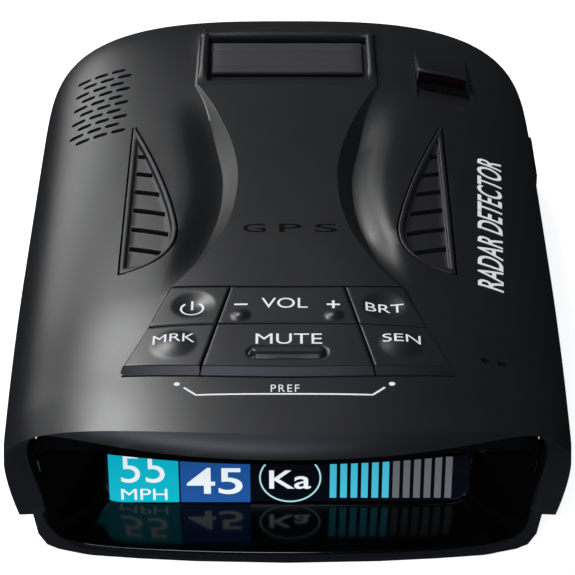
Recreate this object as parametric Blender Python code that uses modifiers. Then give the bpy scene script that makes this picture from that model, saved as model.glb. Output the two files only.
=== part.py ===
"""Radar detector for a windscreen or a dashboard, as an assembly of separate parts.

The origin is on the flat base, under the middle of the case. +Y points at the windscreen,
+X is the driver's right and +Z is up. All the sizes below are in millimetres.
"""

import math

import bmesh
import bpy
from mathutils import Matrix, Vector

MM = 0.001
GAP = 0.3

# Case
BODY_LENGTH = 134.0
BODY_WIDTH = 84.8
BODY_HEIGHT = 30.4
FRONT_Y = -66.0
FAR_Y = FRONT_Y + BODY_LENGTH
WALL = 1.8
WAIST_Z = 16.0
SEAM_Z = 7.7
SKIRT_TUCK = 2.5
FAR_CURVE = 48.0
FAR_POWER = 5.0
CROSS_POWER = 3.0
FRONT_NARROWING = 0.9
NARROWING_Y = -10.0
NARROWING_REACH = 50.0
CROWN_Y = -8.0
CROWN_FALL = 2.2
CROWN_REACH = 60.0
HOOD_BOW = 7.5
HOOD_BOW_POWER = 2.2
BAND_MIDDLE_Z = 12.0
BAND_SHARE_X = 0.86
BAND_SHARE_Z = 0.70
BAND_LEAN = 0.3
SIDE_LEVELS = (12.8, 9.9, SEAM_Z)
SIDE_LEAN_POWER = 1.6
TRAY_STEP = 1.1
TRAY_RIM_Z = SEAM_Z - GAP
TRAY_FLOOR = 1.3
BASE_TUCK = 3.6
TRAY_STEPS = ((TRAY_RIM_Z, 0.0), (3.0, 0.7), (0.9, 1.9), (0.0, BASE_TUCK))
HOLLOW_STEPS = ((TRAY_RIM_Z + 2.0, 0.0), (3.0, 0.7), (TRAY_FLOOR, 1.4))
TRAY_NOSE_SHARE = 0.4

# Raised spine with the keypad, and the valleys beside it
SPINE_WAIST_Y = -2.0
SPINE_WAIST_HALF = 8.0
SPINE_SIDE_RUN = (0.5, 2.4)
CREST_HALF = 16.0
CREST_START_Y = -5.0
CREST_FAR_WIDENING = (6.2, 41.0, 1.4)
CREST_NEAR_WIDENING = (3.4, 26.0, 1.6)
CREST_MARGIN = 1.5
PLATEAU_RISE = 0.9
PLATEAU_LOW = 0.2
PLATEAU_END = 1.5
VALLEY_DEPTH = 1.9
VALLEY_FAR_RUN = 22.0
VALLEY_NEAR_RUN = 16.0
KEYPAD_BACK_Y = FRONT_Y + 32.9
KEYPAD_FRONT_Y = FRONT_Y + 13.0
KEYPAD_BACK_HALF = 17.5
KEYPAD_FRONT_HALF = 24.4
KEY_ROW_Y = FRONT_Y + 23.9
COLUMN_BACK_HALF = 8.6
COLUMN_FRONT_HALF = 12.7
KEY_THICKNESS = 3.2
KEY_BUMP = 0.5
KEY_STEPS = 6
ROCKER_DROP = 3.2

# Dock for the windscreen bracket
DOCK_FAR_Y = FAR_Y - 16.3
DOCK_NEAR_Y = DOCK_FAR_Y - 22.5
DOCK_HALF = 15.4
DOCK_RIM = 1.4
DOCK_FLOOR_Z = BODY_HEIGHT - 3.4
DOCK_DEPTH = 3.0
DOCK_LIP = 3.1
DOCK_SLOT_NEAR = 4.3
DOCK_SLOT_FAR = 1.2
DOCK_SLOT_DEPTH = 1.8
DOCK_ROOF = 0.6
DOCK_RAMP = 5.4
DOCK_NEAR_WALL = 0.6
PAD_THICKNESS = 0.5
PAD_MARGIN = 0.8

# Vent grilles
VENT_FAR_Y = 17.2
VENT_LENGTH = 44.6
VENT_EDGE_X = BODY_WIDTH / 2.0 - 16.6
VENT_BULGE = 8.5
VENT_PEAK = 0.76
GRILLE_THICKNESS = 1.4
VENT_SLOTS = 6
VENT_SLOT_PITCH = 5.5
VENT_SLOT_WIDTH = 0.9
VENT_SLOT_LEAN = math.radians(24.0)

# Rows of small slots beside the dock
PERF_ROWS = 10
PERF_PER_ROW = 3
PERF_ROW_PITCH = 2.47
PERF_PITCH = 3.04
PERF_LENGTH = 2.3
PERF_WIDTH = 0.95
PERF_SHIFT = 1.2
PERF_FAR_Y = FAR_Y - 29.2
PERF_LEFT_X = 6.7 - BODY_WIDTH / 2.0

# Display at the back of its hooded recess
BEZEL_WALL = 0.8
DISPLAY_Y = FRONT_Y + 13.0
DISPLAY_HALF = BODY_WIDTH / 2.0 - 15.0
DISPLAY_LOW_Z = 4.3
DISPLAY_HIGH_Z = BODY_HEIGHT - 13.4
RIM_HALF = BODY_WIDTH / 2.0 - 5.8
RIM_LOW_Z = 2.6
RIM_HIGH_Z = BODY_HEIGHT - 7.5
RIM_ROLL = 2.0
RIM_TAPER = 0.004
HOOD_EDGE_Y = FRONT_Y + 1.2
LIP_Y = FRONT_Y + 3.6
LIP_BOW = 2.4
WINDOW_THICKNESS = 1.2
PANEL_THICKNESS = 1.6
BRACKET_THICKNESS = 1.4
BRACKET_MARGIN = 1.6

# Rear-facing sensor under its hood
SENSOR_X = BODY_WIDTH / 2.0 - 15.6
SENSOR_WIDTH = 9.2
SENSOR_NEAR_Y = FAR_Y - 35.0
SENSOR_LENGTH = 11.3
SENSOR_RISE = 2.2
SENSOR_FOOT_Z = BODY_HEIGHT - 8.0
LENS_THICKNESS = 0.8
LENS_MARGIN = 0.7

# Windscreen-facing lens
FAR_LENS_HALF = BODY_WIDTH / 2.0 - 22.4
FAR_LENS_LOW_Z = 9.2
FAR_LENS_HIGH_Z = 17.4
FAR_LENS_THICKNESS = 1.6
FAR_LENS_INSET = 0.3
RECEIVER_LOW = (10.0, 10.0)
RECEIVER_SIZE = 5.0
RECEIVER_DEPTH = 3.6

# Sockets
SOCKET_Y = FAR_Y - 41.3
SOCKET_WIDTH = 13.0
SOCKET_HEIGHT = 9.0
SOCKET_DEPTH = 13.0
SOCKET_PROUD = 0.5
SOCKET_PORT_WIDTH = 9.8
SOCKET_PORT_HEIGHT = 6.8
SOCKET_PORT_DEPTH = 10.0
AUDIO_Y = FAR_Y - 42.0
AUDIO_RADIUS = 3.0
AUDIO_BORE = 1.8
USB_Y = FAR_Y - 56.0
USB_WIDTH = 8.0
USB_HEIGHT = 3.4
SIDE_JACK_DEPTH = 12.0
SIDE_JACK_Z = 12.0

# Boards and what stands on them
BOARD_THICKNESS = 1.6
BOARD_TOP_Z = 7.4
BOARD_HALF = BODY_WIDTH / 2.0 - 17.4
BOARD_NEAR_Y = FRONT_Y + 22.0
BOARD_FAR_Y = FAR_Y - 9.5
KEY_BOARD_TOP_Z = BODY_HEIGHT - 6.8
KEY_BOARD_THICKNESS = 1.2
SWITCH_SIZE = 4.5
SWITCH_HEIGHT = 0.9
GPS_SIZE = 18.0
GPS_Y = -15.5
GPS_CAN_HEIGHT = 3.0
GPS_PATCH_HEIGHT = 4.0
HORN_APERTURE = (30.0, 11.0)
HORN_THROAT = (9.0, 6.0)
HORN_LENGTH = 20.0
HORN_WALL = 0.9
HORN_Z = 14.2
HORN_FAR_Y = FAR_Y - 8.3
MICROWAVE_LENGTH = 13.0
SPEAKER_X = BODY_WIDTH / 2.0 - 17.9
SPEAKER_Y = -8.0
SPEAKER_RADIUS = 12.5
SPEAKER_LOW_Z = 9.0
SPEAKER_HEIGHT = 6.0
MAGNET_RADIUS = 6.0
MAGNET_HEIGHT = 2.4

# Screws, their bosses and the blank label
SCREW_NEAR = (BODY_WIDTH / 2.0 - 12.4, FRONT_Y + 22.6)
SCREW_FAR = (BODY_WIDTH / 2.0 - 13.8, FAR_Y - 18.0)
SCREW_PLACES = tuple((side * x, y) for x, y in (SCREW_NEAR, SCREW_FAR) for side in (-1, 1))
SCREW_RADIUS = 1.1
SCREW_CLEARANCE = 0.12
SCREW_HEAD_RADIUS = 2.2
SCREW_HEAD_HEIGHT = 1.2
SCREW_HEAD_Z = 0.7
SCREW_TOP_Z = 13.0
BOSS_RADIUS = 3.0
BOSS_FOOT_Z = 4.0
TRAY_BOSS_RADIUS = 4.2
LABEL_SIZE = (44.0, 26.0)
LABEL_Y = 20.0
LABEL_THICKNESS = 0.3
LIGHT_PITS = ((KEYPAD_FRONT_HALF + 4.6, FRONT_Y + 18.9), (KEYPAD_FRONT_HALF + 7.1, FRONT_Y + 19.0))
PIT_RADIUS = 0.6
LIGHT_SENSOR_Z = 19.0
LIGHT_SENSOR_HEIGHT = 2.0
LIGHT_SENSOR_REACH = 1.0
LIGHT_SENSOR_SHIFT = 0.7
RECEIVER_RADIUS = 3.0
RECEIVER_HEIGHT = 4.0
USB_SHELL = 0.5
GPS_CAN_MARGIN = 1.0

PARTS_NAME = "radar_detector"
CUTTERS_NAME = "cutters"

# Colour, roughness and metallic value of each finish
FINISHES = {
    "satin_black": ((0.020, 0.020, 0.022), 0.42, 0.0),
    "black_rubber": ((0.024, 0.024, 0.026), 0.55, 0.0),
    "gloss_black": ((0.006, 0.006, 0.008), 0.08, 0.0),
    "display_glass": ((0.010, 0.012, 0.016), 0.05, 0.0),
    "dark_lens": ((0.012, 0.004, 0.006), 0.08, 0.0),
    "board_green": ((0.02, 0.09, 0.04), 0.45, 0.0),
    "zinc": ((0.55, 0.55, 0.57), 0.35, 1.0),
    "steel": ((0.45, 0.45, 0.47), 0.30, 1.0),
    "ceramic": ((0.62, 0.58, 0.50), 0.50, 0.0),
    "paper_cone": ((0.05, 0.05, 0.05), 0.80, 0.0),
    "socket_black": ((0.015, 0.015, 0.016), 0.35, 0.0),
    "label_grey": ((0.35, 0.35, 0.36), 0.50, 0.0),
    "panel_blue": ((0.02, 0.10, 0.14), 0.25, 0.0),
}


def clamp(value, low=0.0, high=1.0):
    """Keep a value between two limits."""
    return max(low, min(high, value))


def blend(a, b, t):
    """Go from a to b as t goes from 0 to 1."""
    return a + (b - a) * t


def ease(t):
    """Smooth step from 0 to 1."""
    t = clamp(t)
    return t * t * (3.0 - 2.0 * t)


# --- The case's outer surface -------------------------------------------------------------

def straight_half_width(y):
    """Half width of the case at its waist, before the far end rounds in."""
    toward_front = clamp((NARROWING_Y - y) / NARROWING_REACH, 0.0, 2.0)
    return BODY_WIDTH / 2.0 - FRONT_NARROWING * toward_front ** 2


def far_fraction(y):
    """0 where the far end starts to round in, 1 at its tip."""
    return clamp((y - (FAR_Y - FAR_CURVE)) / FAR_CURVE)


def half_width(y):
    """Half width of the case at its waist."""
    return straight_half_width(y) * (1.0 - far_fraction(y) ** FAR_POWER) ** (1.0 / CROSS_POWER)


def crown_height(y):
    """Height of the spine along the middle."""
    return BODY_HEIGHT - CROWN_FALL * ((y - CROWN_Y) / CROWN_REACH) ** 2


def spine_half(y):
    """Half width of the raised spine's flat top."""
    if y <= KEYPAD_BACK_Y:
        t = (KEYPAD_BACK_Y - y) / (KEYPAD_BACK_Y - KEYPAD_FRONT_Y)
        return blend(KEYPAD_BACK_HALF, KEYPAD_FRONT_HALF, t)
    if y <= SPINE_WAIST_Y:
        t = (y - SPINE_WAIST_Y) / (KEYPAD_BACK_Y - SPINE_WAIST_Y)
        return blend(SPINE_WAIST_HALF, KEYPAD_BACK_HALF, t ** 2.4)
    t = clamp((y - SPINE_WAIST_Y) / (DOCK_NEAR_Y - SPINE_WAIST_Y))
    return blend(SPINE_WAIST_HALF, DOCK_HALF, t ** 1.7)


def valley_inner(y):
    """Distance from the middle to the foot of the spine's side."""
    return spine_half(y) + blend(*SPINE_SIDE_RUN, valley_amount(y))


def crest_half(y):
    """Distance from the middle to the soft ridge outside each valley."""
    far_gain, far_reach, far_power = CREST_FAR_WIDENING
    near_gain, near_reach, near_power = CREST_NEAR_WIDENING
    wide = CREST_HALF + far_gain * clamp((y - CREST_START_Y) / far_reach) ** far_power
    wide += near_gain * clamp((CREST_START_Y - y) / near_reach) ** near_power
    return max(wide, valley_inner(y) + CREST_MARGIN)


def valley_amount(y):
    """1 where the valleys beside the spine are deepest, 0 past their ends."""
    return ease((DOCK_NEAR_Y - y) / VALLEY_FAR_RUN) * ease((y - KEYPAD_BACK_Y) / VALLEY_NEAR_RUN)


def plateau_amount(y):
    """1 along the spine, 0 beside the keypad, whose keys stand up by themselves, and past the dock."""
    near = clamp((y - KEYPAD_BACK_Y) / PLATEAU_END + 1.0)
    far = clamp((DOCK_FAR_Y + 4.0 - y) / 4.0)
    return near * far


def plateau_rise(y):
    """How far the spine and the keypad stand above the shoulders: least at the keypad's back."""
    share = ease((y - KEYPAD_FRONT_Y) / (KEYPAD_BACK_Y - KEYPAD_FRONT_Y))
    return blend(PLATEAU_RISE, PLATEAU_LOW, share)


def domed_height(x, y, below):
    """Height of a rounded surface a distance below the spine's, without steps or valleys."""
    across = clamp(abs(x) / straight_half_width(y))
    fullness = clamp(1.0 - across ** CROSS_POWER - far_fraction(y) ** FAR_POWER)
    return WAIST_Z + (crown_height(y) - below - WAIST_Z) * math.sqrt(fullness)


def shoulder_height(x, y):
    """Height of the plain rounded case, without spine and valleys."""
    return domed_height(x, y, plateau_rise(y))


def surface_height(x, y):
    """Height of the case's top, with the raised spine and the valleys beside it."""
    distance = abs(x)
    spine = spine_half(y)
    foot = valley_inner(y)
    crest = crest_half(y)
    height = shoulder_height(x, y)
    rise = plateau_rise(y) * plateau_amount(y)
    dip = VALLEY_DEPTH * valley_amount(y)
    if distance <= spine:
        return height + rise
    if distance <= foot:
        return height + blend(rise, -dip, (distance - spine) / (foot - spine))
    return height - dip * (1.0 - ease((distance - foot) / (crest - foot)))


def hood_bow(x):
    """How far the hood's front edge falls back from its middle."""
    return HOOD_BOW * clamp(abs(x) / (BODY_WIDTH / 2.0 - FRONT_NARROWING), 0.0, 1.1) ** HOOD_BOW_POWER


# --- Blender helpers ----------------------------------------------------------------------

def clear_scene():
    """Remove every object that is already in the file."""
    for existing in list(bpy.data.objects):
        bpy.data.objects.remove(existing, do_unlink=True)


def make_collections():
    """Make one collection for the parts and one for the cutters."""
    found = []
    for name in (PARTS_NAME, CUTTERS_NAME):
        collection = bpy.data.collections.new(name)
        bpy.context.scene.collection.children.link(collection)
        found.append(collection)
    return found


def finish_material(name):
    """Principled material of one named finish."""
    material = bpy.data.materials.get(name)
    if material:
        return material
    color, roughness, metallic = FINISHES[name]
    material = bpy.data.materials.new(name)
    material.use_nodes = True
    shader = material.node_tree.nodes["Principled BSDF"]
    shader.inputs["Base Color"].default_value = (*color, 1.0)
    shader.inputs["Roughness"].default_value = roughness
    shader.inputs["Metallic"].default_value = metallic
    return material


def place(mesh_object, collection, finish=None, origin=(0.0, 0.0, 0.0), drawn_about_origin=False):
    """Put an object in its collection, give it a finish, and set its origin to a point in mm."""
    for old in list(mesh_object.users_collection):
        old.objects.unlink(mesh_object)
    collection.objects.link(mesh_object)
    offset = Vector(origin) * MM
    if not drawn_about_origin:
        mesh_object.data.transform(Matrix.Translation(-offset))
    mesh_object.location = offset
    if finish:
        mesh_object.data.materials.clear()
        mesh_object.data.materials.append(finish_material(finish))
    return mesh_object


def mesh_from(name, points, faces):
    """Mesh object from points in mm and faces, with all faces turned outward."""
    mesh = bpy.data.meshes.new(name)
    mesh.from_pydata([[value * MM for value in point] for point in points], [], faces)
    body = bmesh.new()
    body.from_mesh(mesh)
    bmesh.ops.remove_doubles(body, verts=body.verts, dist=1e-6)
    bmesh.ops.recalc_face_normals(body, faces=body.faces)
    body.to_mesh(mesh)
    body.free()
    return bpy.data.objects.new(name, mesh)


def loft(name, rows, closed=True, caps=(True, True)):
    """Skin a row of sections that each have the same number of points, and cap its first and last."""
    count = len(rows[0])
    points = [point for row in rows for point in row]
    faces = []
    for row in range(len(rows) - 1):
        for column in range(count if closed else count - 1):
            following = (column + 1) % count
            faces.append((row * count + column, row * count + following,
                          (row + 1) * count + following, (row + 1) * count + column))
    last = (len(rows) - 1) * count
    if caps[0]:
        faces.append(tuple(range(count)))
    if caps[1]:
        faces.append(tuple(range(last, last + count)))
    return mesh_from(name, points, faces)


def turn_outward(target, inside):
    """Make an open surface face away from a point in mm that it wraps around."""
    center = Vector(inside) * MM
    facing = sum(face.area * face.normal.dot(face.center - center) for face in target.data.polygons)
    if facing < 0.0:
        target.data.flip_normals()


def box(name, low, high):
    """Box between two corners."""
    bpy.ops.mesh.primitive_cube_add(size=1.0)
    cube = bpy.context.object
    cube.name = name
    cube.data.name = name
    for vertex in cube.data.vertices:
        for axis in range(3):
            share = vertex.co[axis] + 0.5
            vertex.co[axis] = blend(low[axis], high[axis], share) * MM
    return cube


def cylinder(name, radius, center, length, axis="Z", sides=24):
    """Cylinder with its middle at a point, along X, Y or Z."""
    turn = {"X": (0.0, math.pi / 2.0, 0.0), "Y": (math.pi / 2.0, 0.0, 0.0), "Z": (0.0, 0.0, 0.0)}[axis]
    bpy.ops.mesh.primitive_cylinder_add(vertices=sides, radius=radius * MM, depth=length * MM,
                                        location=[value * MM for value in center], rotation=turn)
    rod = bpy.context.object
    rod.name = name
    rod.data.name = name
    rod.data.transform(rod.matrix_basis)
    rod.matrix_basis.identity()
    return rod


def outline_solid(name, outline, low_z, high_z):
    """Flat outline in X and Y, given a thickness in Z."""
    curve = bpy.data.curves.new(name, "CURVE")
    curve.dimensions = "2D"
    curve.fill_mode = "BOTH"
    curve.extrude = (high_z - low_z) / 2.0 * MM
    spline = curve.splines.new("POLY")
    spline.points.add(len(outline) - 1)
    for point, (x, y) in zip(spline.points, outline):
        point.co = (x * MM, y * MM, 0.0, 1.0)
    spline.use_cyclic_u = True
    drawn = bpy.data.objects.new(name + "_outline", curve)
    bpy.context.scene.collection.objects.link(drawn)
    bpy.context.view_layer.update()
    evaluated = drawn.evaluated_get(bpy.context.evaluated_depsgraph_get())
    mesh = bpy.data.meshes.new_from_object(evaluated)
    bpy.data.objects.remove(drawn, do_unlink=True)
    body = bmesh.new()
    body.from_mesh(mesh)
    bmesh.ops.remove_doubles(body, verts=body.verts, dist=1e-6)
    bmesh.ops.recalc_face_normals(body, faces=body.faces)
    for vertex in body.verts:
        vertex.co.z += (low_z + high_z) / 2.0 * MM
    body.to_mesh(mesh)
    body.free()
    return bpy.data.objects.new(name, mesh)


def turned(name, profile, sides=32):
    """Profile of (radius, height) turned about the vertical axis through the object's origin."""
    mesh = bpy.data.meshes.new(name)
    on_axis = profile[0][0] == 0.0 and profile[-1][0] == 0.0
    spans = len(profile) - 1 if on_axis else len(profile)
    edges = [(index, (index + 1) % len(profile)) for index in range(spans)]
    mesh.from_pydata([(radius * MM, 0.0, height * MM) for radius, height in profile], edges, [])
    spun = bpy.data.objects.new(name, mesh)
    screw = spun.modifiers.new("turn", "SCREW")
    screw.steps = sides
    screw.render_steps = sides
    screw.use_merge_vertices = True
    screw.merge_threshold = 0.00001
    return spun


def add_modifier(target, kind, **settings):
    """Add a modifier and set its values."""
    modifier = target.modifiers.new(kind.lower(), kind)
    for key, value in settings.items():
        setattr(modifier, key, value)
    return modifier


def shell(target, wall):
    """Give an open surface a wall on its inner side."""
    add_modifier(target, "SOLIDIFY", thickness=wall * MM, offset=-1.0, use_even_offset=False)


def round_edges(target, width, segments=2):
    """Round a piece's sharp edges."""
    add_modifier(target, "BEVEL", width=width * MM, segments=segments, limit_method="ANGLE",
                 angle_limit=math.radians(40.0), use_clamp_overlap=True)


def cut(target, cutter, collection, operation="DIFFERENCE"):
    """Cut a piece with another, or join it on."""
    if not cutter.users_collection or collection not in cutter.users_collection:
        place(cutter, collection)
    cutter.hide_render = True
    cutter.display_type = "WIRE"
    add_modifier(target, "BOOLEAN", operation=operation, solver="EXACT", object=cutter)


def shade_smooth(target):
    """Smooth shading for round pieces."""
    for polygon in target.data.polygons:
        polygon.use_smooth = True


# --- Case ---------------------------------------------------------------------------------

def cap_columns(y):
    """Places across the case at which its top is sampled, from one side to the other."""
    width = half_width(y)
    pinch = width / straight_half_width(y)
    spine = spine_half(y) * pinch
    foot = valley_inner(y) * pinch
    crest = crest_half(y) * pinch
    right = [0.5 * spine, spine, foot, blend(foot, crest, 0.5), crest]
    right += [blend(crest, width, share) for share in (0.3, 0.55, 0.75, 0.9, 0.975, 1.0)]
    return [-value for value in reversed(right)] + [0.0] + right


def cap_rows():
    """Places along the case at which its top is sampled, from the hood to the far end."""
    rows = [FRONT_Y, FRONT_Y + 4.0, FRONT_Y + 9.0, KEYPAD_FRONT_Y - 1.0, KEYPAD_FRONT_Y]
    rows += [blend(KEYPAD_FRONT_Y, KEYPAD_BACK_Y, share) for share in (0.33, 0.67)]
    rows += [KEYPAD_BACK_Y - PLATEAU_END, KEYPAD_BACK_Y]
    rows += [blend(KEYPAD_BACK_Y, DOCK_NEAR_Y, share / 9.0) for share in range(1, 10)]
    rows += [blend(DOCK_NEAR_Y, DOCK_FAR_Y, share) for share in (0.5, 1.0)]
    rows += [blend(DOCK_FAR_Y, FAR_Y, share) for share in (0.27, 0.5, 0.68, 0.82, 0.92, 0.98)]
    return rows


def cap_point(x, y):
    """Point on the case's top. The hood's rows bow back toward the sides."""
    bow_share = clamp((KEYPAD_FRONT_Y - 1.0 - y) / (KEYPAD_FRONT_Y - 1.0 - FRONT_Y))
    bowed_y = y + hood_bow(x) * bow_share
    return (x, bowed_y, surface_height(x, y))


def outward_normals(points):
    """Direction in plan that leads straight out of the case at each point of its waist."""
    normals = []
    for point in points:
        across = CROSS_POWER * (abs(point[0]) / straight_half_width(point[1])) ** (CROSS_POWER - 1.0)
        across *= math.copysign(1.0 / straight_half_width(point[1]), point[0])
        along = FAR_POWER * far_fraction(point[1]) ** (FAR_POWER - 1.0) / FAR_CURVE
        size = math.hypot(across, along)
        normals.append((across / size, along / size))
    return normals


def tuck(z):
    """How far the side leans in at a height below the waist."""
    return SKIRT_TUCK * clamp((WAIST_Z - z) / (WAIST_Z - SEAM_Z)) ** SIDE_LEAN_POWER


def waist_outline():
    """Outline of the case at its waist, from the front left, round the far end, to the front right."""
    cap = [[cap_point(x, y) for x in cap_columns(y)] for y in cap_rows()]
    left = [row[0] for row in cap]
    far = cap[-1][1:]
    right = [row[-1] for row in reversed(cap[:-1])]
    return cap, left + far + right


def make_top_cover(parts, cutters):
    """Upper shell: top, far end and sides down to the seam, with the hood's front band."""
    cap, waist = waist_outline()
    normals = outward_normals(waist)
    levels = [waist]
    for z in SIDE_LEVELS:
        inset = tuck(z)
        levels.append([(point[0] - normal[0] * inset, point[1] - normal[1] * inset, z)
                       for point, normal in zip(waist, normals)])
    points = []
    index_of = {}

    def index(point):
        key = tuple(round(value, 5) for value in point)
        if key not in index_of:
            index_of[key] = len(points)
            points.append(point)
        return index_of[key]

    faces = []

    def strip(first, second):
        for a in range(len(first) - 1):
            faces.append((index(first[a]), index(first[a + 1]), index(second[a + 1]), index(second[a])))

    for first, second in zip(cap, cap[1:]):
        strip(first, second)
    for first, second in zip(levels, levels[1:]):
        strip(first, second)
    left_edge = [level[0] for level in reversed(levels)]
    right_edge = [level[-1] for level in levels]
    crease = left_edge + cap[0][1:-1] + right_edge
    band = []
    for x, y, z in crease:
        band_z = BAND_MIDDLE_Z + (z - BAND_MIDDLE_Z) * BAND_SHARE_Z if z > BAND_MIDDLE_Z else z
        band.append((x * BAND_SHARE_X, y + BAND_LEAN, band_z))
    strip(crease, band)
    cover = mesh_from("top_cover", points, faces)
    turn_outward(cover, (0.0, 0.0, SEAM_Z))
    place(cover, parts, "satin_black")
    shell(cover, WALL)
    add_cover_cuts(cover, cutters)
    shade_smooth(cover)
    return cover


def boss_top(x, y):
    """Height at which a screw boss meets the inside of the top cover."""
    outer = abs(x) + BOSS_RADIUS
    return surface_height(outer, y) - WALL / 2.0


def add_cover_cuts(cover, cutters):
    """Openings and screw bosses of the top cover."""
    for number, (x, y) in enumerate(SCREW_PLACES, start=1):
        low = BOSS_FOOT_Z + GAP
        high = boss_top(x, y)
        boss = cylinder(f"boss_{number}", BOSS_RADIUS, (x, y, (low + high) / 2.0), high - low)
        cut(cover, boss, cutters, "UNION")
        low_hole = low - 1.0
        high_hole = SCREW_TOP_Z + 1.0
        pilot = cylinder(f"pilot_{number}", SCREW_RADIUS + SCREW_CLEARANCE,
                         (x, y, (low_hole + high_hole) / 2.0), high_hole - low_hole, sides=16)
        cut(cover, pilot, cutters)
    cut(cover, bezel_envelope("bezel_opening"), cutters)
    cut(cover, box("socket_opening",
                   (BODY_WIDTH / 2.0 - 8.0, SOCKET_Y - SOCKET_WIDTH / 2.0 - GAP, SEAM_Z - 1.0),
                   (BODY_WIDTH / 2.0 + 4.0, SOCKET_Y + SOCKET_WIDTH / 2.0 + GAP,
                    SEAM_Z + SOCKET_HEIGHT + GAP)), cutters)
    cut(cover, cylinder("audio_opening", AUDIO_RADIUS + GAP,
                        (-BODY_WIDTH / 2.0, AUDIO_Y, SIDE_JACK_Z), 12.0, "X"), cutters)
    cut(cover, box("usb_opening",
                   (-BODY_WIDTH / 2.0 - 4.0, USB_Y - USB_WIDTH / 2.0 - GAP,
                    SIDE_JACK_Z - USB_HEIGHT / 2.0 - GAP),
                   (-BODY_WIDTH / 2.0 + 6.0, USB_Y + USB_WIDTH / 2.0 + GAP,
                    SIDE_JACK_Z + USB_HEIGHT / 2.0 + GAP)), cutters)
    for number, (x, y) in enumerate(LIGHT_PITS, start=1):
        cut(cover, cylinder(f"pit_{number}", PIT_RADIUS, (x, y, 25.0), 12.0, sides=12), cutters)
    cut(cover, outline_solid("keypad_opening", keypad_outline(GAP), 20.0, 40.0), cutters)
    cut(cover, box("dock_opening", (-DOCK_HALF - GAP, DOCK_NEAR_Y - GAP, 20.0),
                   (DOCK_HALF + GAP, DOCK_FAR_Y + GAP, 40.0)), cutters)
    for side, word in ((-1, "left"), (1, "right")):
        cut(cover, vent_solid(f"vent_opening_{word}", side, GAP, 6.0, 6.0), cutters)
    cut(cover, perforation_cutter(), cutters)
    cut(cover, box("sensor_opening",
                   (SENSOR_X - SENSOR_WIDTH / 2.0 - GAP, SENSOR_NEAR_Y - GAP, 18.0),
                   (SENSOR_X + SENSOR_WIDTH / 2.0 + GAP, SENSOR_NEAR_Y + SENSOR_LENGTH + GAP, 40.0)),
        cutters)
    cut(cover, box("far_lens_opening", (-FAR_LENS_HALF - GAP, FAR_Y - 8.0, FAR_LENS_LOW_Z - GAP),
                   (FAR_LENS_HALF + GAP, FAR_Y + 4.0, FAR_LENS_HIGH_Z + GAP)), cutters)


def tray_section(inset, z):
    """Closed outline of the bottom cover at one height, moved in from the waist by a distance."""
    rows = cap_rows()
    right = [(half_width(y), cap_point(half_width(y), y)[1]) for y in reversed(rows)]
    left = [(-x, y) for x, y in reversed(right)]
    outline = left + [(0.0, FAR_Y)] + right
    side = [(x - normal[0] * inset, y - normal[1] * inset, z)
            for (x, y), normal in zip(outline, outward_normals(outline))]
    edge_x = side[-1][0]
    front_y = LIP_Y - BEZEL_WALL + (inset - SKIRT_TUCK - TRAY_STEP) * TRAY_NOSE_SHARE
    front = []
    for share in (0.85, 0.65, 0.4, 0.0, -0.4, -0.65, -0.85):
        front.append((edge_x * share, front_y + LIP_BOW * share ** 2, z))
    return side + front


def make_bottom_cover(parts, cutters):
    """Lower tray: flat base and low sides up to the seam, lower under the display's lip."""
    rim_inset = SKIRT_TUCK + TRAY_STEP
    tray = loft("bottom_cover", [tray_section(rim_inset + extra, z) for z, extra in TRAY_STEPS])
    place(tray, parts, "satin_black")
    hollow = loft("tray_hollow", [tray_section(rim_inset + WALL + extra, z) for z, extra in HOLLOW_STEPS])
    cut(tray, hollow, cutters)
    cut(tray, bezel_envelope("bezel_seat"), cutters)
    head_room = SCREW_HEAD_Z + SCREW_HEAD_HEIGHT + GAP
    for number, (x, y) in enumerate(SCREW_PLACES, start=1):
        pillar = cylinder(f"tray_boss_{number}", TRAY_BOSS_RADIUS, (x, y, (0.4 + BOSS_FOOT_Z) / 2.0),
                          BOSS_FOOT_Z - 0.4)
        cut(tray, pillar, cutters, "UNION")
        cut(tray, cylinder(f"head_room_{number}", SCREW_HEAD_RADIUS + GAP,
                           (x, y, (head_room - 1.0) / 2.0), head_room + 1.0), cutters)
        cut(tray, cylinder(f"screw_way_{number}", SCREW_RADIUS + GAP, (x, y, 3.0), 4.0, sides=16), cutters)
    recess = LABEL_THICKNESS + 0.1 + GAP
    cut(tray, box("label_recess", (-LABEL_SIZE[0] / 2.0 - GAP, LABEL_Y - LABEL_SIZE[1] / 2.0 - GAP, -1.0),
                  (LABEL_SIZE[0] / 2.0 + GAP, LABEL_Y + LABEL_SIZE[1] / 2.0 + GAP, recess)), cutters)
    return tray


# --- Display ------------------------------------------------------------------------------

def rounded_ring(half_x, low_z, high_z, power, place_y, grow=0.0, taper=0.0, count=48):
    """Closed ring with rounded corners in X and Z, at the depth that place_y gives."""
    middle = (low_z + high_z) / 2.0
    half_z = (high_z - low_z) / 2.0 + grow
    ring = []
    for step in range(count):
        angle = 2.0 * math.pi * (step + 0.5) / count
        cosine = math.cos(angle)
        sine = math.sin(angle)
        reach = (abs(cosine) ** power + abs(sine) ** power) ** (-1.0 / power)
        z = middle + half_z * reach * sine
        x = (half_x + grow) * reach * cosine * (1.0 - taper * max(WAIST_Z - z, 0.0))
        ring.append((x, place_y(x, z), z))
    return ring


def rim_y(x, z):
    """Depth of the display recess's front rim, which leans back from the hood to the lip."""
    share = clamp((z - RIM_LOW_Z) / (RIM_HIGH_Z - RIM_LOW_Z))
    hood = HOOD_EDGE_Y + hood_bow(x)
    lip = LIP_Y + LIP_BOW * (x / RIM_HALF) ** 2
    return blend(lip, hood, share)


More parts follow.
